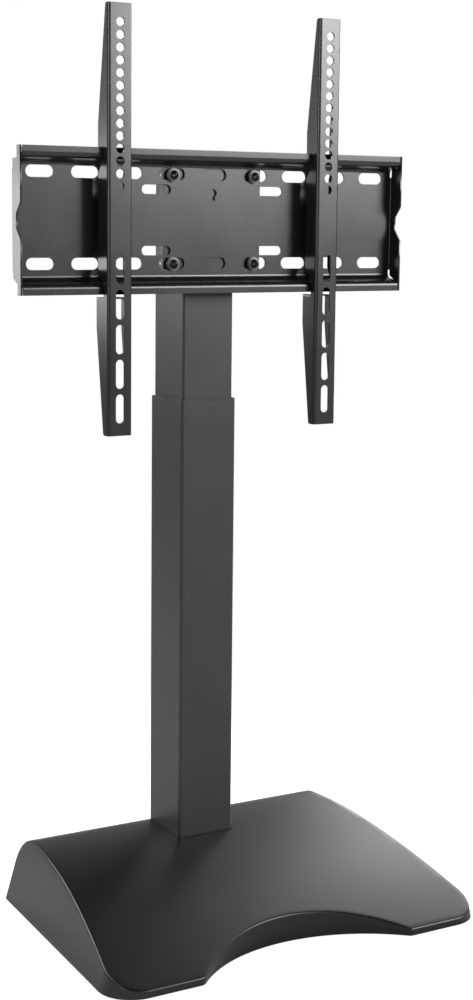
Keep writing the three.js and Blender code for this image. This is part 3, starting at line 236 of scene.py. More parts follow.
# Soft lamps. Large diffusers stand round the stand: one gives the broad sheen on the hood and
# one lights the arms from the front. Strips and a high lamp on the left light the left faces
# and draw the thin bright line on the hood's fold, and one fills from above.
SOFT_LAMPS = {   # place, aim, width, height, brightness, lean
    "front_right_diffuser": ((2.04, -2.30, 1.62), (0.0, 0.0, 0.90), 1.8, 1.3, 14.0, 0.0),
    "back_right_diffuser": ((2.21, 1.22, 1.23), (0.1, 0.0, 0.05), 1.5, 2.1, 6.3, 31.0),
    "back_left_strip": ((-0.78, 0.80, 0.73), (-0.23, 0.04, 0.73), 0.44, 0.26, 6.0, 0.0),
    "back_left_diffuser": ((-0.95, 2.05, 2.05), (-0.1, 0.0, 0.05), 1.2, 0.8, 9.0, 0.0),
    "front_left_strip": ((-2.30, -1.35, 1.25), (0.0, 0.0, 0.8), 0.5, 1.2, 8.0, 0.0),
    "top_diffuser": ((-1.00, 0.80, 2.30), (-0.6, 0.5, 0.0), 1.6, 1.6, 4.2, 0.0),
}
for name, (place, aim, width, tall, brightness, lean) in SOFT_LAMPS.items():
    lamp = bpy.data.lights.new(name, "AREA")
    lamp.shape, lamp.size, lamp.size_y = "RECTANGLE", width, tall
    lamp.energy = brightness * math.pi * width * tall
    holder = bpy.data.objects.new(name, lamp)
    gaze = (Vector(aim) - Vector(place)).to_track_quat("-Z", "Y").to_matrix().to_4x4()
    leaning = Matrix.Rotation(math.radians(lean), 4, "Z")
    holder.matrix_world = Matrix.Translation(place) @ gaze @ leaning
    bpy.context.collection.objects.link(holder)

# Hood. One moulded cover with an arched back, a long slope to a thin front, splayed and
# leaning sides, a concave toe recess and a rolled top edge; four screws hold it from below.
REAR_Y, FRONT_Y, COLUMN_Y = 0.160, -0.160, 0.089
REAR_HALF, FRONT_HALF, SIDE_DEGREES = 0.198, 0.2315, 13.0
CORNER_R, TIP_R = 0.036, 0.009
TOE_HALF, TOE_DEEP = 0.128, 0.054
RIM_Z, HOOD_TALL, LIP_Z = 0.0012, 0.078, 0.009
ROLL_R, HOOD_WALL = 0.0018, 0.0025
ARCH_SHARES = [(0.025, 0.564), (0.033, 0.795), (0.075, 0.974), (0.1375, 1.0)]
SLOPE_SHARES = [(0.1375, 1.0), (0.44, 1.0), (0.722, 0.59)]
BACK_POINTS, ARCH_POINTS, SLOPE_POINTS, TOE_POINTS = 16, 28, 110, 61
ROLL_ROWS, SIDE_ROWS = 7, 14
GRID_HALF, GRID_COUNT, GRID_SHARE = 0.226, 71, 0.982
HOLE_CLEAR, INLET_CLEAR, FLANK_CLEAR = 1.08, 1.2, 0.001
WELD, TINY, SNAP = 0.000002, 1e-12, 1e-7
COLUMN_HOLE, COLUMN_HOLE_R = 0.0696, 0.0038
INLET_MIDDLE, INLET_SIZE, INLET_R = (-0.112, 0.024), (0.0286, 0.0206), 0.0033
BOSS_PLACES = [(-0.167, 0.106), (0.167, 0.106), (-0.167, -0.024), (0.167, -0.024)]
BOSS_R, BOSS_BORE_R, BOSS_FOOT_Z, BOSS_BORE_Z = 0.005, 0.0023, 0.0066, 0.0146
BOSS_EDGE, BOSS_DRAFT, BOSS_DROP = 0.0004, 0.0006, 1.8 * HOOD_WALL
side_lean = math.tan(math.radians(SIDE_DEGREES)) / ((REAR_HALF + FRONT_HALF) / 2)
splay = (FRONT_HALF - REAR_HALF) / (REAR_Y - FRONT_Y)
toe_r = (TOE_HALF ** 2 + TOE_DEEP ** 2) / (2 * TOE_DEEP)
toe_y = FRONT_Y + TOE_DEEP - toe_r


def bezier(points, count):
    """Cubic curve: four points weighted by the Bernstein shares of t, for t from 0 to 1."""
    t = np.linspace(0.0, 1.0, count)[:, None]
    a, b, c, d = np.array(points, float)
    return a * (1 - t) ** 3 + 3 * b * t * (1 - t) ** 2 + 3 * c * t ** 2 * (1 - t) + d * t ** 3


def rounded(corners, steps=10):
    """Closed outline from (x, y, radius) corners, each replaced by an arc that meets both sides."""
    corners = np.array(corners, float)
    outline = []
    for i, (x, y, radius) in enumerate(corners):
        here = np.array([x, y])
        if radius <= 0:
            outline.append(here[None])
            continue
        a, b = corners[i - 1, :2] - here, corners[(i + 1) % len(corners), :2] - here
        a, b = a / np.linalg.norm(a), b / np.linalg.norm(b)
        half = math.acos(np.clip(a @ b, -1, 1)) / 2
        middle = here + (a + b) / np.linalg.norm(a + b) * radius / math.sin(half)
        start = here + a * radius / math.tan(half) - middle
        end = here + b * radius / math.tan(half) - middle
        sweep = math.atan2(start[0] * end[1] - start[1] * end[0], start @ end)
        arc = np.linspace(0, sweep, steps + 1)[:, None]
        across = np.array([-start[1], start[0]])
        outline.append(middle + start * np.cos(arc) + across * np.sin(arc))
    return np.vstack(outline)


def box_outline(x, y, width, height, radius, steps=8):
    """Rectangle round a middle, counter-clockwise, with rounded corners."""
    signs = ((-1, -1), (1, -1), (1, 1), (-1, 1))
    return rounded([(x + s * width / 2, y + t * height / 2, radius) for s, t in signs], steps)


def inside(points, loop):
    """Whether each point lies in a closed outline, by the parity of the edges right of it."""
    a, b = loop, np.roll(loop, -1, axis=0)
    px, py = points[:, :1], points[:, 1:]
    crosses = (a[:, 1] > py) != (b[:, 1] > py)
    rise = np.where(b[:, 1] == a[:, 1], TINY, b[:, 1] - a[:, 1])
    reached = (b[:, 0] - a[:, 0]) * (py - a[:, 1]) / rise + a[:, 0]
    return (crosses & (px < reached)).sum(axis=1) % 2 == 1


def triangulate(loops, lines=(), extra=()):
    """Triangles of an outline (the first loop) without its holes, split along the given lines."""
    points, edges, count = [], [], 0
    for loop in loops:
        n = np.arange(len(loop))
        edges.append(np.column_stack([n, (n + 1) % len(loop)]) + count)
        points.append(loop)
        count += len(loop)
    for line in lines:
        edges.append(np.array([[count, count + 1]]))
        points.append(np.array(line))
        count += 2
    if len(extra):
        points.append(extra)
    flat = [Vector(p) for p in np.vstack(points).tolist()]
    flat, _, tris, *_ = delaunay_2d_cdt(flat, np.vstack(edges).tolist(), [], 0, SNAP)
    flat = np.array([tuple(p) for p in flat])
    tris = np.array([t for t in tris if len(t) == 3])
    middle = flat[tris].mean(axis=1)
    keep = inside(middle, loops[0])
    for hole in loops[1:]:
        keep &= ~inside(middle, hole)
    return flat, tris[keep]


def hood_profile():
    """Side view of the skin, as (y, z) from the rear rim over the arch down to the front lip.

    A straight back and two cubic curves, from shares of the hood's depth and height."""
    at = lambda shares: (REAR_Y - shares[0] * (REAR_Y - FRONT_Y), shares[1] * HOOD_TALL)
    back = np.linspace((REAR_Y, RIM_Z), at(ARCH_SHARES[0]), BACK_POINTS)
    arch = bezier([at(share) for share in ARCH_SHARES], ARCH_POINTS)
    slope = bezier([*(at(share) for share in SLOPE_SHARES), (FRONT_Y, LIP_Z)], SLOPE_POINTS)
    return np.vstack([back, arch[1:], slope[1:]])


def hood_front(inset):
    """Plan of the front, right corner to left corner, moved inwards by inset.

    The toe recess is an arc of a circle round toe_y, between two small rounded tips."""
    front = FRONT_Y + inset
    reach = math.acos((front - toe_y) / (toe_r + inset))
    arc = np.linspace(reach, -reach, TOE_POINTS)
    toe = np.column_stack([(toe_r + inset) * np.sin(arc), toe_y + (toe_r + inset) * np.cos(arc),
                           np.zeros(TOE_POINTS)])
    toe[[0, -1], 2] = TIP_R - inset
    narrow = inset * math.hypot(1, splay)
    side, start = REAR_HALF + (REAR_Y - front) * splay - narrow, REAR_HALF + REAR_Y * splay - narrow
    return rounded([(start, 0, 0), (side, front, CORNER_R - inset), *toe,
                    (-side, front, CORNER_R - inset), (-start, 0, 0)], 14)[1:-1]


profile = hood_profile()
walked = np.concatenate([[0.0], np.cumsum(np.linalg.norm(np.diff(profile, axis=0), axis=1))])
tangent = np.gradient(profile, walked, axis=0)
tangent /= np.linalg.norm(tangent, axis=1)[:, None]
into = np.column_stack([-tangent[:, 1], tangent[:, 0]])
slope_top = profile[BACK_POINTS + ARCH_POINTS - 1:][::-1]
flank_count = int((profile[:, 0] > hood_front(0.0)[0, 1] + FLANK_CLEAR).sum())


def hood_ring(inset, depth):
    """Closed edge line, right rear to left rear, moved inwards by inset and down by depth."""
    flank = profile[:flank_count] + into[:flank_count] * depth
    flank = np.column_stack([REAR_HALF + (REAR_Y - flank[:, 0]) * splay - inset, flank])
    plan = hood_front(inset)
    top = np.interp(plan[:, 1], slope_top[:, 0], slope_top[:, 1])
    front = np.column_stack([plan, top - depth])
    ring = np.vstack([flank, front, flank[::-1] * (-1, 1, 1)])
    ring[:, 2] = np.maximum(ring[:, 2], RIM_Z)
    return ring


quarter = np.linspace(math.pi / 2, 0.0, ROLL_ROWS)
rings = [hood_ring(ROLL_R * (1 - math.cos(a)), ROLL_R * (1 - math.sin(a))) for a in quarter]
fall = np.linspace(0.0, 1.0, SIDE_ROWS)[1:, None, None] * (rings[-1] * (0, 0, 1) - (0, 0, RIM_Z))
rings = np.concatenate([rings, rings[-1] - fall])
span = rings.shape[1]
cell = (np.arange(len(rings) - 1)[:, None] * span + np.arange(span - 1)).ravel()
edge_faces = np.column_stack([cell, cell + 1, cell + span + 1, cell + span])
edge_walk = np.interp(-rings[0][:, 1], -profile[:, 0], walked)
edge_walk[:flank_count] = walked[:flank_count]
edge_walk[-flank_count:] = walked[:flank_count][::-1]
outline = np.column_stack([rings[0][:, 0], edge_walk])
hole = box_outline(0.0, COLUMN_Y, COLUMN_HOLE, COLUMN_HOLE, COLUMN_HOLE_R)
hole[:, 1] = np.interp(-hole[:, 1], -profile[:, 0], walked)
inlet = box_outline(*INLET_MIDDLE, *INLET_SIZE, INLET_R)
inlet[:, 1] = np.interp(inlet[:, 1], profile[:BACK_POINTS, 1], walked[:BACK_POINTS])
widths, walks = np.meshgrid(np.linspace(-GRID_HALF, GRID_HALF, GRID_COUNT), walked[2:-2:2])
grid = np.stack([widths, walks], axis=-1).reshape(-1, 2)
centre = outline.mean(axis=0)
free = inside(grid, centre + (outline - centre) * GRID_SHARE)
for loop, grow in ((hole, HOLE_CLEAR), (inlet, INLET_CLEAR)):
    middle = loop.mean(axis=0)
    free &= ~inside(grid, middle + (loop - middle) * grow)
flat, tris = triangulate([outline, hole, inlet], extra=grid[free])
skin = np.column_stack([flat[:, 0], np.interp(flat[:, 1], walked, profile[:, 0]),
                        np.interp(flat[:, 1], walked, profile[:, 1])])
points = np.vstack([rings.reshape(-1, 3), skin])
points[:, 0] *= 1 - side_lean * points[:, 2]
faces = [edge_faces, tris[:, ::-1] + len(rings) * span]


def moulding(finish):
    """Satin moulded skin: a fine even grain, and slow drifts of tone and gloss."""
    grain, drift = finish.noise(0.0006, 3.0, 0.6), finish.noise(0.08)
    return {"Base Color": finish.tint((0.0005, 0.0005, 0.0005), (0.004, 0.004, 0.004),
                                      grain * 0.6 + drift * 0.4),
            "Roughness": (grain * 0.10 + drift * 0.06 + 0.24).within(0.1, 1.0),
            "Normal": finish.relief(grain, 0.00003)}


moulded = surface("hood_satin", {"Specular IOR Level": 0.45}, moulding)
hood = mesh_object("hood_shell", points, faces, moulded, weld=WELD, sharp=40.0)
wall = hood.modifiers.new("wall", "SOLIDIFY")
wall.thickness, wall.offset = HOOD_WALL, -1.0
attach(hood, "base")
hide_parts("base_hood")


def ring_faces(rows, count):
    """Four-sided faces between rows of closed rings that have count points each."""
    row = np.arange(rows - 1)[:, None] * count
    here, after = np.arange(count), (np.arange(count) + 1) % count
    quads = np.stack([row + here, row + after, row + count + after, row + count + here], axis=-1)
    return quads.reshape(-1, 4)


def spun(profile, count, place):
    """Turned surface: the profile's radius and height swept round a full turn about upright."""
    radius, tall = np.array(profile, float).T
    turn = np.arange(count) * 2 * np.pi / count
    x, y = radius[:, None] * np.cos(turn), radius[:, None] * np.sin(turn)
    points = np.stack([x, y, np.repeat(tall[:, None], count, axis=1)], axis=-1)
    return points.reshape(-1, 3) + np.array(place), [ring_faces(len(radius), count)]


def joined(shapes):
    """Several (points, faces) shapes as one, with the faces' numbers moved along."""
    points, faces, count = [], [], 0
    for shape_points, shape_faces in shapes:
        points.append(shape_points)
        faces += [group + count for group in shape_faces]
        count += len(shape_points)
    return np.vstack(points), faces


bosses = []
for x, y in BOSS_PLACES:
    roof = np.interp(y, slope_top[:, 0], slope_top[:, 1]) - BOSS_DROP
    bosses.append(spun([(0.0, BOSS_BORE_Z), (BOSS_BORE_R, BOSS_BORE_Z),
                        (BOSS_BORE_R, BOSS_FOOT_Z + BOSS_EDGE),
                        (BOSS_BORE_R + BOSS_EDGE, BOSS_FOOT_Z), (BOSS_R - BOSS_EDGE, BOSS_FOOT_Z),
                        (BOSS_R, BOSS_FOOT_Z + BOSS_EDGE), (BOSS_R + BOSS_DRAFT, roof),
                        (0.0, roof)], 32, (x, y, 0)))
boss_piece = mesh_object("hood_screw_bosses", *joined(bosses), moulded, weld=WELD, sharp=40.0)
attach(boss_piece, "base")

# Outer column. A square welded steel tube with a cut-out for the motor's nose and four rim
# notches, standing on a thick foot plate with two gussets, and powder coated as one.
OUTER_SIZE, OUTER_R, OUTER_WALL, OUTER_FOOT, OUTER_TOP = 0.068, 0.003, 0.0015, 0.0123, 0.562
WINDOW_Z, WINDOW_R = 0.0369, 0.019
NOTCH_HALF, NOTCH_DEEP = 0.004, 0.002
FOOT_SIZE, FOOT_Z, FOOT_TALL, FOOT_R, FOOT_EDGE_R = (0.124, 0.110), 0.0066, 0.006, 0.008, 0.0006
FOOT_BOLTS, FOOT_BORE_R = (0.051, 0.044), 0.0043
GUSSET_RISE, GUSSET_RUN, GUSSET_THICK = 0.034, 0.016, 0.003
GUSSET_GAP, GUSSET_NOSE, GUSSET_EDGE_R = 0.0001, 0.004, 0.0004
EDGE_R, EDGE_ROWS, TUBE_STEPS = 0.0003, 4, 8
NEAR, MITRE_LIMIT = 0.000001, 0.25


def fold(line):
    """Distances walked along a bent line, and at each point the unit normal on its right.

    Long steps weigh more than the short ones of a bend, so flat stretches stay flat."""
    step = np.diff(line, axis=0)
    run = np.concatenate([[0.0], np.cumsum(np.linalg.norm(step, axis=1))])
    slope = np.vstack([step[:1], step[1:] + step[:-1], step[-1:]])
    slope /= np.linalg.norm(slope, axis=1)[:, None]
    return run, np.column_stack([slope[:, 1], -slope[:, 0]])


def bent(corners, radius, steps=7):
    """Open line with an arc in each inner corner; radius is one for all or one for each."""
    radii = [0.0, *np.broadcast_to(radius, len(corners) - 2), 0.0]
    return rounded([(*corner, r) for corner, r in zip(corners, radii)], steps)


def follow(line, run, normals, walk, height):
    """Points at the walked distances along a bent line, moved height along its normals."""
    spot = np.column_stack([np.interp(walk, run, line[:, k]) for k in (0, 1)])
    away = np.column_stack([np.interp(walk, run, normals[:, k]) for k in (0, 1)])
    return spot + away / np.linalg.norm(away, axis=1)[:, None] * height


def mitred(points, edges):
    """Outward direction at the points that directed edges join, as long as a mitre there.

    It is the sum of the edges' unit normals at a point, times their number, over the square
    of the sum's length, which counts as MITRE_LIMIT where it is less."""
    step = points[edges[:, 1]] - points[edges[:, 0]]
    length = np.linalg.norm(step, axis=1)[:, None]
    out = np.column_stack([step[:, 1], -step[:, 0]]) / np.where(length < TINY, 1, length)
    total, count = np.zeros_like(points), np.zeros(len(points))
    for end in (0, 1):
        np.add.at(total, edges[:, end], out)
        np.add.at(count, edges[:, end], 1)
    size = np.maximum((total ** 2).sum(axis=1), MITRE_LIMIT)
    return total * (np.maximum(count, 1) / size)[:, None]


def on_seam(x, seam):
    """Whether both ends of each edge, whose widths are given, lie on one end of the blank."""
    return (np.abs(x) < NEAR).all(axis=1) | (np.abs(x - seam) < NEAR).all(axis=1)


def pressed(loops, stations, carry, thickness, edge=EDGE_R, seam=None):
    """Sheet metal cut from a flat blank and folded, with all its cut edges rounded.

    The outline and the holes move into the metal by the edge radius and are cut into
    triangles along the stations, where the sheet bends. carry(flat, height) gives the folded
    place of blank points that lie height above the middle of the sheet. The rounded edge is
    the cut line moved out by edge times the sine of an angle, at half the thickness less
    edge times one minus its cosine. seam is the blank's length where its two ends are welded.
    """
    inner = []
    for k, loop in enumerate(loops):
        area = np.sum(loop[:, 0] * np.roll(loop[:, 1], -1) - loop[:, 1] * np.roll(loop[:, 0], -1))
        loop = loop if (area > 0) == (k == 0) else loop[::-1]
        here = np.arange(len(loop))
        edges = np.column_stack([here, np.roll(here, -1)])
        if seam and k == 0:
            edges = edges[~on_seam(loop[edges, 0], seam)]
        inner.append(loop - mitred(loop, edges) * edge)
    flat, tris = triangulate(inner, stations)
    used, tris = np.unique(tris, return_inverse=True)
    flat, tris = flat[used], tris.reshape(-1, 3)
    sides = np.concatenate([tris[:, [0, 1]], tris[:, [1, 2]], tris[:, [2, 0]]])
    key, back = sides[:, 0] * len(flat) + sides[:, 1], sides[:, 1] * len(flat) + sides[:, 0]
    rim = sides[~np.isin(key, back)]
    if seam:
        rim = rim[~on_seam(flat[rim, 0], seam)]
    push = mitred(flat, rim)
    used = np.unique(rim)
    place_of = np.full(len(flat), -1)
    place_of[used] = np.arange(len(used))
    arc = np.linspace(0, np.pi / 2, EDGE_ROWS)
    steps = [(edge * math.sin(a), thickness / 2 - edge * (1 - math.cos(a)), a) for a in arc]
    steps += [(o, -h, np.pi - a) for o, h, a in steps[::-1]]
    points = [carry(flat, thickness / 2), carry(flat, -thickness / 2)]
    up = carry(flat, thickness) - carry(flat, 0.0)
    up /= np.linalg.norm(up, axis=1)[:, None]
    normals = [up, -up]
    spread = push[used] / np.linalg.norm(push[used], axis=1)[:, None] * NEAR
    away = carry(flat[used] + spread, 0.0) - carry(flat[used] - spread, 0.0)
    away /= np.maximum(np.linalg.norm(away, axis=1), TINY)[:, None]
    for out_by, height, angle in steps[1:-1]:
        points.append(carry(flat[used] + push[used] * out_by, height))
        normals.append(up[used] * math.cos(angle) + away * math.sin(angle))
    starts = [0, *(2 * len(flat) + k * len(used) for k in range(len(steps) - 2)), len(flat)]
    faces = [tris, tris[:, ::-1] + len(flat)]
    for k in range(len(steps) - 1):
        lines = [rim if k == 0 else place_of[rim], rim if k == len(steps) - 2 else place_of[rim]]
        top, low = lines[0] + starts[k], lines[1] + starts[k + 1]
        faces.append(np.column_stack([low[:, 0], low[:, 1], top[:, 1], top[:, 0]]))
    return np.vstack(points), faces, np.vstack(normals)


def sheet_object(name, shapes, material):
    """Object of pressed shapes, whose flats stay flat because each point keeps its own normal."""
    points, faces = joined([shape[:2] for shape in shapes])
    normals = np.vstack([shape[2] for shape in shapes])
    return mesh_object(name, points, faces, material, normals, WELD)


def tube_carry(size, radius, wall):
    """Carry function of a square tube whose blank starts in the middle of its rear wall."""
    half = (size - wall) / 2
    line = box_outline(0.0, 0.0, 2 * half, 2 * half, radius - wall / 2, TUBE_STEPS)
    rear = np.array([[0.0, half]])
    line = np.vstack([rear, line[-TUBE_STEPS - 1:], line[:-TUBE_STEPS - 1], rear])
    run, out = fold(line)

    def carry(flat, height):
        spot = follow(line, run, out, flat[:, 0], height)
        return np.column_stack([spot[:, 0], spot[:, 1] + COLUMN_Y, flat[:, 1]])

    return carry, run


def circle(x, y, radius, count=32):
    """Points of a circle, counter-clockwise from its right."""
    turn = np.arange(count) * 2 * np.pi / count
    return np.column_stack([x + radius * np.cos(turn), y + radius * np.sin(turn)])


def powder(dark, light, gloss, peel_size=0.0009, peel_depth=0.00003):
    """Baked powder coat: orange peel with a fine sparkle, and slow drifts of tone and gloss."""
    def wires(finish):
        peel, speck = finish.noise(peel_size, 3.0, 0.6), finish.noise(peel_size / 3, 1.0)
        drift = finish.noise(0.05)
        return {"Base Color": finish.tint(dark, light, peel * 0.4 + speck * 0.3 + drift * 0.3),
                "Roughness": (speck * 0.10 + drift * 0.08 + (gloss - 0.09)).within(0.05, 1.0),
                "Normal": finish.relief(peel * 0.7 + speck * 0.3, peel_depth)}
    return wires


coated = surface("column_powder_coat", {"Specular IOR Level": 0.5},
                 powder((0.014, 0.014, 0.015), (0.030, 0.030, 0.031), 0.36))
carry, run = tube_carry(OUTER_SIZE, OUTER_R, OUTER_WALL)
face_middles = run[-1] * np.arange(5) / 4
rim = []
for k, s in enumerate(face_middles[:-1]):
    rim += [(s + NOTCH_HALF, OUTER_TOP - NOTCH_DEEP), (s + NOTCH_HALF, OUTER_TOP)]
    after = face_middles[k + 1]
    rim += [(after - NOTCH_HALF, OUTER_TOP), (after - NOTCH_HALF, OUTER_TOP - NOTCH_DEEP)]
blank = np.array([(0.0, OUTER_FOOT), (run[-1], OUTER_FOOT), (run[-1], OUTER_TOP - NOTCH_DEEP),
                  *rim[::-1], (0.0, OUTER_TOP - NOTCH_DEEP)])
window = circle(face_middles[3], WINDOW_Z, WINDOW_R, 48)
bends = [((s, 0.0), (s, 1.0)) for s in run[1:-1]]
tube = pressed([blank, window], bends, carry, OUTER_WALL, seam=run[-1])
column = sheet_object("column_tube", [tube], coated)
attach(column, "base")
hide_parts("outer_column")


def level_carry(middle):
    """A flat sheet lying level, with its middle plane at a height."""
    return lambda flat, height: np.column_stack([flat, np.full(len(flat), middle + height)])


def side_carry(middle):
    """A flat sheet standing along the stand and facing the right, its middle plane at a width."""
    return lambda flat, height: np.column_stack([np.full(len(flat), middle) + height, flat])


foot_line = box_outline(0.0, COLUMN_Y, *FOOT_SIZE, FOOT_R)
foot_bores = [circle(s * FOOT_BOLTS[0], COLUMN_Y + t * FOOT_BOLTS[1], FOOT_BORE_R)
              for s in (-1, 1) for t in (-1, 1)]
shapes = [pressed([foot_line, *foot_bores], [], level_carry(FOOT_Z + FOOT_TALL / 2), FOOT_TALL,
                  FOOT_EDGE_R)]
low = FOOT_Z + FOOT_TALL
for side in (-1, 1):
    root = COLUMN_Y + side * (OUTER_SIZE / 2 + GUSSET_GAP)
    gusset = np.array([(root, low), (root + side * GUSSET_RUN, low),
                       (root + side * GUSSET_RUN, low + GUSSET_NOSE),
                       (root + side * GUSSET_NOSE, low + GUSSET_RISE), (root, low + GUSSET_RISE)])
    shapes.append(pressed([gusset], [], side_carry(0.0), GUSSET_THICK, GUSSET_EDGE_R))
foot_piece = sheet_object("column_foot", shapes, coated)
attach(foot_piece, "base")

# Lifting tube. The square steel tube that slides in the outer column, with two cross holes
# in each side wall for the head's screws; coated before it is fitted.
INNER_SIZE, INNER_R, INNER_WALL, INNER_FOOT, INNER_TOP = 0.0625, 0.0026, 0.0015, 0.2111, 0.812
CROSS_LEVELS, CROSS_R = (0.7193, 0.7833), 0.0033
carry, run = tube_carry(INNER_SIZE, INNER_R, INNER_WALL)
blank = np.array([(0.0, INNER_FOOT), (run[-1], INNER_FOOT), (run[-1], INNER_TOP), (0.0, INNER_TOP)])
holes = [circle(run[-1] * share, z, CROSS_R) for share in (0.25, 0.75) for z in CROSS_LEVELS]
bends = [((s, 0.0), (s, 1.0)) for s in run[1:-1]]
tube = pressed([blank, *holes], bends, carry, INNER_WALL, seam=run[-1])
lifting = sheet_object("lifting_tube_skin", [tube], coated)
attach(lifting, "lift")
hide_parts("lifting_tube")

# Head bracket. A thick laser-cut plate with four bolt holes, welded to two cheeks that clasp
# the lifting tube and are screwed to it from the sides.
HEAD_SIZE, HEAD_MIDDLE_Z = (0.120, 0.122), 0.7513
HEAD_FRONT_Y, HEAD_THICK, HEAD_R, HEAD_EDGE_R = 0.05145, 0.006, 0.004, 0.0005
BOLT_X, BOLT_LEVELS, BOLT_BORE_R = 0.050, (0.7998, 0.7074), 0.0043
CHEEK_IN_X, CHEEK_THICK, CHEEK_BACK_Y = 0.03155, 0.003, 0.10345
CHEEK_HALF_Z, CHEEK_R, CHEEK_LAP = 0.052, 0.008, 0.0002


def front_carry(middle):
    """A flat sheet standing across the stand and facing the front, its middle plane at a depth."""
    return lambda flat, height: np.column_stack([flat[:, 0], np.full(len(flat), middle) - height,
                                                 flat[:, 1]])


smooth_coated = surface("mount_powder_coat", {"Specular IOR Level": 0.6},
                        powder((0.004, 0.004, 0.004), (0.012, 0.012, 0.013), 0.26, 0.0007, 0.00001))
plate_line = box_outline(0.0, HEAD_MIDDLE_Z, *HEAD_SIZE, HEAD_R)
bores = [circle(s * BOLT_X, z, BOLT_BORE_R) for s in (-1, 1) for z in BOLT_LEVELS]
shapes = [pressed([plate_line, *bores], [], front_carry(HEAD_FRONT_Y + HEAD_THICK / 2), HEAD_THICK,
                  HEAD_EDGE_R)]
cheek_front = HEAD_FRONT_Y + HEAD_THICK - CHEEK_LAP
low, top = HEAD_MIDDLE_Z - CHEEK_HALF_Z, HEAD_MIDDLE_Z + CHEEK_HALF_Z
cheek_line = rounded([(cheek_front, low, 0), (CHEEK_BACK_Y, low, CHEEK_R),
                      (CHEEK_BACK_Y, top, CHEEK_R), (cheek_front, top, 0)])
bores = [circle(COLUMN_Y, z, CROSS_R) for z in CROSS_LEVELS]
shapes += [pressed([cheek_line, *bores], [], side_carry(s * (CHEEK_IN_X + CHEEK_THICK / 2)),
                   CHEEK_THICK) for s in (-1, 1)]
bracket = sheet_object("head_bracket_weldment", shapes, smooth_coated)
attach(bracket, "lift")
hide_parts("head_bracket")

# Carrier plate. One pressed sheet: a sunk face with two rows of wide slots, sloped webs up to
# an upright lip above and below, and a notched flange bent forward at each end.
CARRIER_T, CARRIER_MID_Z = 0.002, 0.7513
FACE_Y, LIP_Y = 0.05015, 0.03165
SECTION_LEVELS = (-0.0743, -0.0645, -0.0602, 0.0602, 0.0640, 0.0743)
WEB_BENDS = (0.0050, 0.0062, 0.0050, 0.0055)
SHEET_END, FLANGE_X, FLANGE_ROOT_Y, TAB_HALF = 0.2316, 0.2335, 0.04795, 0.0515
FLANGE_EDGE = [   # depth, and height over the plate's middle
    (FLANGE_ROOT_Y, -0.0575), (0.03815, -0.0633), (0.03815, -0.0743), (0.03065, -0.0743),
    (0.03065, -0.0188), (0.0405, -0.0070), (0.0405, 0.0070), (0.03065, 0.0188),
    (0.03065, 0.0743), (0.03815, 0.0743), (0.03815, 0.0617), (FLANGE_ROOT_Y, 0.0617)]
WIDE_SLOT, WIDE_PITCH, WIDE_COUNT, WIDE_LEVELS = (0.031, 0.0122), 0.051, 4, (0.0496, -0.0433)
SMALL_SLOT, SMALL_X, SMALL_LEVELS = (0.0345, 0.0097), 0.0695, (0.0335, -0.0299)
KEY_RISE, KEY_R, STEM_HALF, STEM_DROP = 0.0306, 0.0038, 0.0018, 0.0060
BEND_ROWS, BEND_REACH = 7, 0.09


def oblong(x, z, width, tall, steps=12):
    """Slot outline: two half circles joined by straight sides."""
    radius = min(width, tall) / 2
    return box_outline(x, z, width, tall, radius * 0.9999, steps)


section = list(zip((LIP_Y, LIP_Y, FACE_Y, FACE_Y, LIP_Y, LIP_Y), SECTION_LEVELS))
section = bent(section, WEB_BENDS, 12)
run, out = fold(section)
middle_walk = np.interp(0.0, section[:, 1], run)
flange_bend = FLANGE_X - SHEET_END


def carrier_carry(flat, height):
    """The blank's heights follow the plate's section; past the sheet's ends it turns forward.

    There the bend is an arc of flange_bend, and the flange then runs straight to the front."""
    side, past = np.sign(flat[:, 0]), np.maximum(np.abs(flat[:, 0]) - SHEET_END, 0.0)
    main = follow(section, run, -out, flat[:, 1] + middle_walk, height)
    turn = np.minimum(past / flange_bend, np.pi / 2)
    width = SHEET_END + flange_bend * np.sin(turn) - height * np.sin(turn)
    depth = FACE_Y - flange_bend * (1 - np.cos(turn)) - height * np.cos(turn)
    depth -= np.maximum(past - flange_bend * np.pi / 2, 0.0)
    flanged = np.column_stack([side * width, depth, flat[:, 1]])
    sheet = np.column_stack([flat[:, 0], main])
    return np.where(past[:, None] > 0, flanged, sheet) + (0, 0, CARRIER_MID_Z)


def unrolled(depth):
    """Blank position of a flange point at a depth: sheet end, bend arc, then the straight part."""
    return SHEET_END + flange_bend * (math.pi / 2 - 1) + FACE_Y - depth


end = [(SHEET_END, -middle_walk), (SHEET_END, -TAB_HALF), (unrolled(FLANGE_ROOT_Y), -TAB_HALF),
       *((unrolled(depth), z) for depth, z in FLANGE_EDGE), (unrolled(FLANGE_ROOT_Y), TAB_HALF),
       (SHEET_END, TAB_HALF), (SHEET_END, run[-1] - middle_walk)]
blank = np.array(end + [(-x, z) for x, z in end[::-1]])
cuts = [oblong(k * WIDE_PITCH, z, *WIDE_SLOT)
        for k in range(-WIDE_COUNT, WIDE_COUNT + 1) for z in WIDE_LEVELS]
cuts += [oblong(side * SMALL_X, z, *SMALL_SLOT) for side in (-1, 1) for z in SMALL_LEVELS]
lap = math.asin(STEM_HALF / KEY_R)
eye = np.linspace(-math.pi / 2 + lap, 1.5 * math.pi - lap, 40)
stem = np.linspace(math.pi, 2 * math.pi, 13)
cuts.append(np.vstack([
    np.column_stack([KEY_R * np.cos(eye), KEY_RISE + KEY_R * np.sin(eye)]),
    np.column_stack([STEM_HALF * np.cos(stem), KEY_RISE - STEM_DROP + STEM_HALF * np.sin(stem)])]))
bends = [((-SHEET_END, s), (SHEET_END, s)) for s in run[1:-1] - middle_walk]
stations = SHEET_END + flange_bend * np.linspace(0, np.pi / 2, BEND_ROWS)
bends += [((side * x, -BEND_REACH), (side * x, BEND_REACH)) for x in stations for side in (-1, 1)]
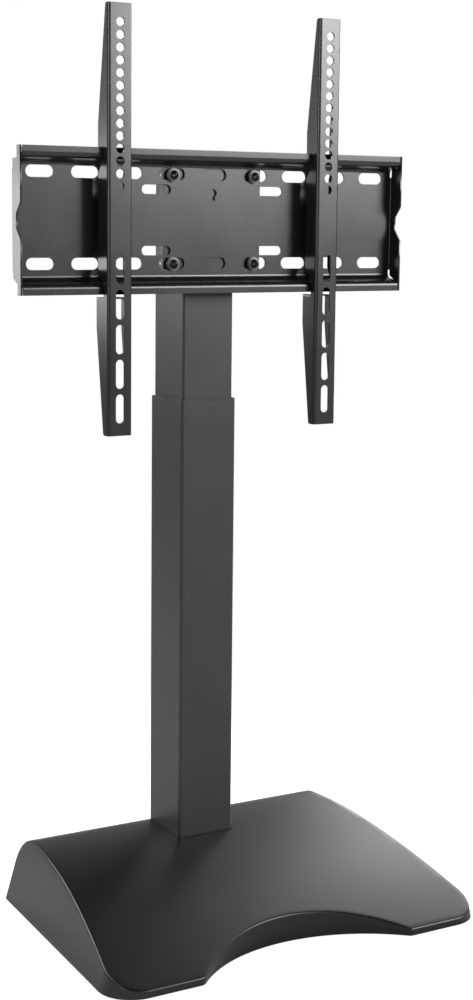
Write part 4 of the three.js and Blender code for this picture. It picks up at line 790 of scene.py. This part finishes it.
plate = pressed([blank, *cuts], bends, carrier_carry, CARRIER_T)
carrier = sheet_object("carrier_plate_pressing", [plate], smooth_coated)
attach(carrier, "lift")
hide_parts("carrier_plate")

# Head bolts. Four black bolts with collared pan heads and cross recesses hold the carrier to
# the head bracket, each over a plain washer and into a hexagon nut behind.
BOLT_SEAT_Y, BOLT_CAP_R, BOLT_R, BOLT_LENGTH = 0.04695, 0.00675, 0.004, 0.0175
COLLAR_TALL, DOME_R, DOME_TALL = 0.0011, 0.0050, 0.0032
RECESS_LONG, RECESS_WIDE, RECESS_FLOOR, RECESS_EDGE = 0.0031, 0.0008, 0.0016, 0.0003
DOME_SHARE, DOME_ANGLE = 0.74, 0.95
# Depths over which the painted highlight on the collar fades out towards the dome.
PAINTED_HIGHLIGHT_DEPTHS = (BOLT_SEAT_Y - 0.0017, BOLT_SEAT_Y - 0.0009)
BOLT_SIDE = [   # radius and height over the seat, from the collar's top down to the bolt's end
    (BOLT_CAP_R - 0.0005, COLLAR_TALL), (BOLT_CAP_R - 0.0002, COLLAR_TALL - 0.0001),
    (BOLT_CAP_R, COLLAR_TALL - 0.0004), (BOLT_CAP_R, 0.0002), (BOLT_CAP_R - 0.0002, 0.0),
    (BOLT_R, 0.0), (BOLT_R, 0.0006 - BOLT_LENGTH), (BOLT_R - 0.0006, -BOLT_LENGTH),
    (0.0, -BOLT_LENGTH)]


def oxide(finish):
    """Black oxide on turned steel: cloudy tone, small scuffs in its gloss, and a rougher collar
    painted paler as a painted highlight.
    """
    scuff, cloud = finish.noise(0.0011, 4.0, 0.65), finish.noise(0.006)
    # The collar is painted paler, a painted highlight, and is also made rougher.
    painted_collar_highlight = finish.along("Y").ease(*PAINTED_HIGHLIGHT_DEPTHS)
    return {"Base Color": finish.tint((0.015, 0.015, 0.016), (0.15, 0.15, 0.15),
                                      scuff * 0.1 + cloud * 0.1 + painted_collar_highlight * 0.7),
            "Roughness": (scuff * 0.16 + painted_collar_highlight * 0.22 + 0.16).within(0.1, 1.0),
            "Normal": finish.relief(scuff, 0.00001)}


def recessed_head(x, z, count=96):
    """Collared pan head with a cross recess, as rings whose radius goes from a cross to a circle.

    The cross's radius at an angle is the larger reach of its two bars. Over the dome the rings
    mix it with a circle, and their height is the collar's plus an ellipse's."""
    turn = np.arange(count) * 2 * np.pi / count
    c, s = np.maximum(np.abs(np.cos(turn)), NEAR), np.maximum(np.abs(np.sin(turn)), NEAR)
    cross = np.maximum(np.minimum(RECESS_LONG / c, RECESS_WIDE / s),
                       np.minimum(RECESS_WIDE / c, RECESS_LONG / s))
    dome = lambda r: COLLAR_TALL + DOME_TALL * np.sqrt(np.maximum(1 - (r / DOME_R) ** 2, 0.0))
    rings = [(cross * 0.0, RECESS_FLOOR), (cross * 0.75, RECESS_FLOOR),
             (cross * 0.92, dome(cross) - RECESS_EDGE), (cross, dome(cross))]
    for share in np.linspace(0.2, 1.0, 6):
        radius = cross * (1 - share) + DOME_R * DOME_SHARE * share
        rings.append((radius, dome(radius)))
    for angle in np.linspace(DOME_ANGLE, math.pi / 2, 7):
        radius = np.full(count, DOME_R * math.sin(angle))
        rings.append((radius, dome(radius)))
    rings += [(np.full(count, radius), level) for radius, level in BOLT_SIDE]
    radius = np.array([ring[0] for ring in rings])
    level = np.array([np.broadcast_to(ring[1], count) for ring in rings])
    points = np.stack([x + radius * np.cos(turn), BOLT_SEAT_Y - level, z + radius * np.sin(turn)],
                      axis=-1)
    return points.reshape(-1, 3), [ring_faces(len(rings), count)[:, [0, 3, 2, 1]]]


black_oxide = surface("black_oxide_steel", {"Specular IOR Level": 0.6, "Metallic": 0.9}, oxide)
bolt_places = [(side * BOLT_X, z) for side in (-1, 1) for z in BOLT_LEVELS]
for bolt_number, place in enumerate(bolt_places, 1):
    bolt = mesh_object(f"head_bolt_{bolt_number}_turned", *recessed_head(*place), black_oxide,
                       weld=WELD, sharp=38.0)
    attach(bolt, "lift")
    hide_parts(f"head_bolt_{bolt_number}")

# Hanger arms. Each is a sheet folded to a channel, with a row of round holes and five long
# slots for the display's screws; hooked cut-outs in its flanges hang it on the carrier's lip.
# The flange on the right is the shallower one.
ARM_X, ARM_T, ARM_BEND_R = 0.1276, 0.002, 0.0024
ARM_HALF, ARM_FRONT_Y, ARM_BACK_Y = 0.01325, 0.02015, 0.060
FLANGE_LINE = [   # depth, height, corner radius and how much shallower the right flange is
    (0.0310, 0.532, 0.003, 0.005), (0.0455, 0.6432, 0.003, 0.0042),
    (0.0455, 0.6722, 0.0005, 0.0042), (0.03005, 0.6722, 0.0005, 0.0),
    (0.03005, 0.6876, 0.001, 0.0), (0.0420, 0.7034, 0.002, 0.0042),
    (0.0420, 0.7992, 0.002, 0.0042), (0.03005, 0.8150, 0.001, 0.0),
    (0.03005, 0.8262, 0.0005, 0.0), (0.03325, 0.8262, 0.0005, 0.0),
    (0.03325, 0.8214, 0.0008, 0.0), (0.0420, 0.8214, 0.0006, 0.0042),
    (0.0420, 0.8490, 0.003, 0.0042), (0.0262, 0.9680, 0.003, 0.0022)]
HOLE_R, HOLE_TOP, HOLE_PITCH, HOLE_COUNT = 0.00465, 0.9493, 0.0125, 14
SLOT_SIZE, SLOT_FIRST, SLOT_PITCH, SLOT_COUNT = (0.0096, 0.030), 0.560, 0.0357, 5

front = ARM_FRONT_Y + ARM_T / 2
channel = bent([(-ARM_HALF, ARM_BACK_Y), (-ARM_HALF, front), (ARM_HALF, front),
                (ARM_HALF, ARM_BACK_Y)], ARM_BEND_R, 9)
run, out = fold(channel)
reach = run[-1] / 2 - ARM_BACK_Y
blank = rounded([(reach + depth - less, z, radius) for depth, z, radius, less in FLANGE_LINE]
                + [(-reach - depth, z, radius) for depth, z, radius, _ in FLANGE_LINE[::-1]], 5)
cuts = [circle(0.0, HOLE_TOP - i * HOLE_PITCH, HOLE_R, 40) for i in range(HOLE_COUNT)]
cuts += [oblong(0.0, SLOT_FIRST + i * SLOT_PITCH, *SLOT_SIZE) for i in range(SLOT_COUNT)]
bends = [((s, 0.5), (s, 1.0)) for s in run[1:-1] - run[-1] / 2]


def arm_carry(flat, height):
    """The blank's widths follow the channel's section round its two bends."""
    spot = follow(channel, run, out, flat[:, 0] + run[-1] / 2, height)
    return np.column_stack([spot, flat[:, 1]])


points, faces, normals = pressed([blank, *cuts], bends, arm_carry, ARM_T)
for side, x in (("left", -ARM_X), ("right", ARM_X)):
    shape = (points + (x, 0, 0), faces, normals)
    arm = sheet_object(f"hanger_arm_{side}_channel", [shape], smooth_coated)
    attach(arm, f"arm_{side}")
    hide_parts(f"hanger_arm_{side}")


# Fixings and coated parts that keep their shapes: base plate, washers, side screws, and the
# lock strips and screws of the arms. They take the finishes already made.
def dress(material, *names):
    """Give a finish to the CAD nodes whose names start with any of the names."""
    for node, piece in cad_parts.items():
        if node.startswith(names):
            piece.data.materials.clear()
            piece.data.materials.append(material)


dress(coated, "base_plate")
dress(black_oxide, "head_washer", "head_screw", "lock_strip", "lock_screw")


# Bright steel. Zinc-plated screws, bolts and nuts, and the ground steel of the bearing,
# spindle, motor and its clamp, with faint cloudy spangles in the plating.
def plating(finish):
    """Zinc plate: cloudy spangle in tone and gloss, fine scratches as relief."""
    spangle, scratch = finish.noise(0.004, 3.0), finish.noise(0.0004, 4.0, 0.7)
    return {"Base Color": finish.tint((0.42, 0.43, 0.45), (0.62, 0.62, 0.61),
                                      spangle * 0.8 + scratch * 0.2),
            "Roughness": (spangle * 0.12 + scratch * 0.12 + 0.20).within(0.1, 1.0),
            "Normal": finish.relief(scratch, 0.00001)}


dress(surface("zinc_plated_steel", {"Metallic": 1.0}, plating),
      "hood_screw", "foot_bolt", "head_nut", "motor", "motor_clamp", "spindle_bearing", "spindle")

# Bronze nut. The bushing that runs on the spindle is turned from bronze, with fine lathe
# rings round its axis.
LATHE_RATE, LATHE_DEPTH = 9000.0, 0.000008


def turned_bronze(finish):
    """Turned bronze: relief that is the sine of the height times a rate, and a cloudy tone."""
    cloud = finish.noise(0.005, 3.0)
    phase = finish.along("Z") * LATHE_RATE
    return {"Base Color": finish.tint((0.52, 0.34, 0.14), (0.68, 0.48, 0.22), cloud),
            "Roughness": (cloud * 0.14 + 0.22).within(0.1, 1.0),
            "Normal": finish.relief(phase.math("SINE", phase) * 0.5 + 0.5, LATHE_DEPTH)}


dress(surface("turned_bronze", {"Metallic": 1.0}, turned_bronze), "spindle_nut")


# Plastic and rubber parts. Pads of matt rubber; a fine-grained black housing plastic for the
# gearbox, control box, inlet, glide bush and tube cap; and slick natural plastic in the glide.
def plastic(dark, light, gloss, grain, depth):
    """Moulded plastic or rubber: even grain in relief and gloss, and a slow drift of tone."""
    def wires(finish):
        fine, drift = finish.noise(grain, 3.0, 0.6), finish.noise(0.03)
        return {"Base Color": finish.tint(dark, light, fine * 0.5 + drift * 0.5),
                "Roughness": (fine * 0.14 + (gloss - 0.07)).within(0.05, 1.0),
                "Normal": finish.relief(fine, depth)}
    return wires


dress(surface("pad_rubber", {"Specular IOR Level": 0.3},
              plastic((0.010, 0.010, 0.010), (0.022, 0.022, 0.022), 0.85, 0.0010, 0.00006)), "pad_")
dress(surface("housing_plastic", {"Specular IOR Level": 0.45},
              plastic((0.010, 0.010, 0.011), (0.020, 0.020, 0.021), 0.50, 0.0005, 0.00003)),
      "gearbox", "control_box", "power_inlet", "upper_glide_bush", "tube_cap")
dress(surface("glide_plastic", {"Specular IOR Level": 0.5, "Subsurface Weight": 0.1},
              plastic((0.66, 0.64, 0.58), (0.76, 0.74, 0.68), 0.40, 0.0008, 0.00002)),
      "lower_glide")
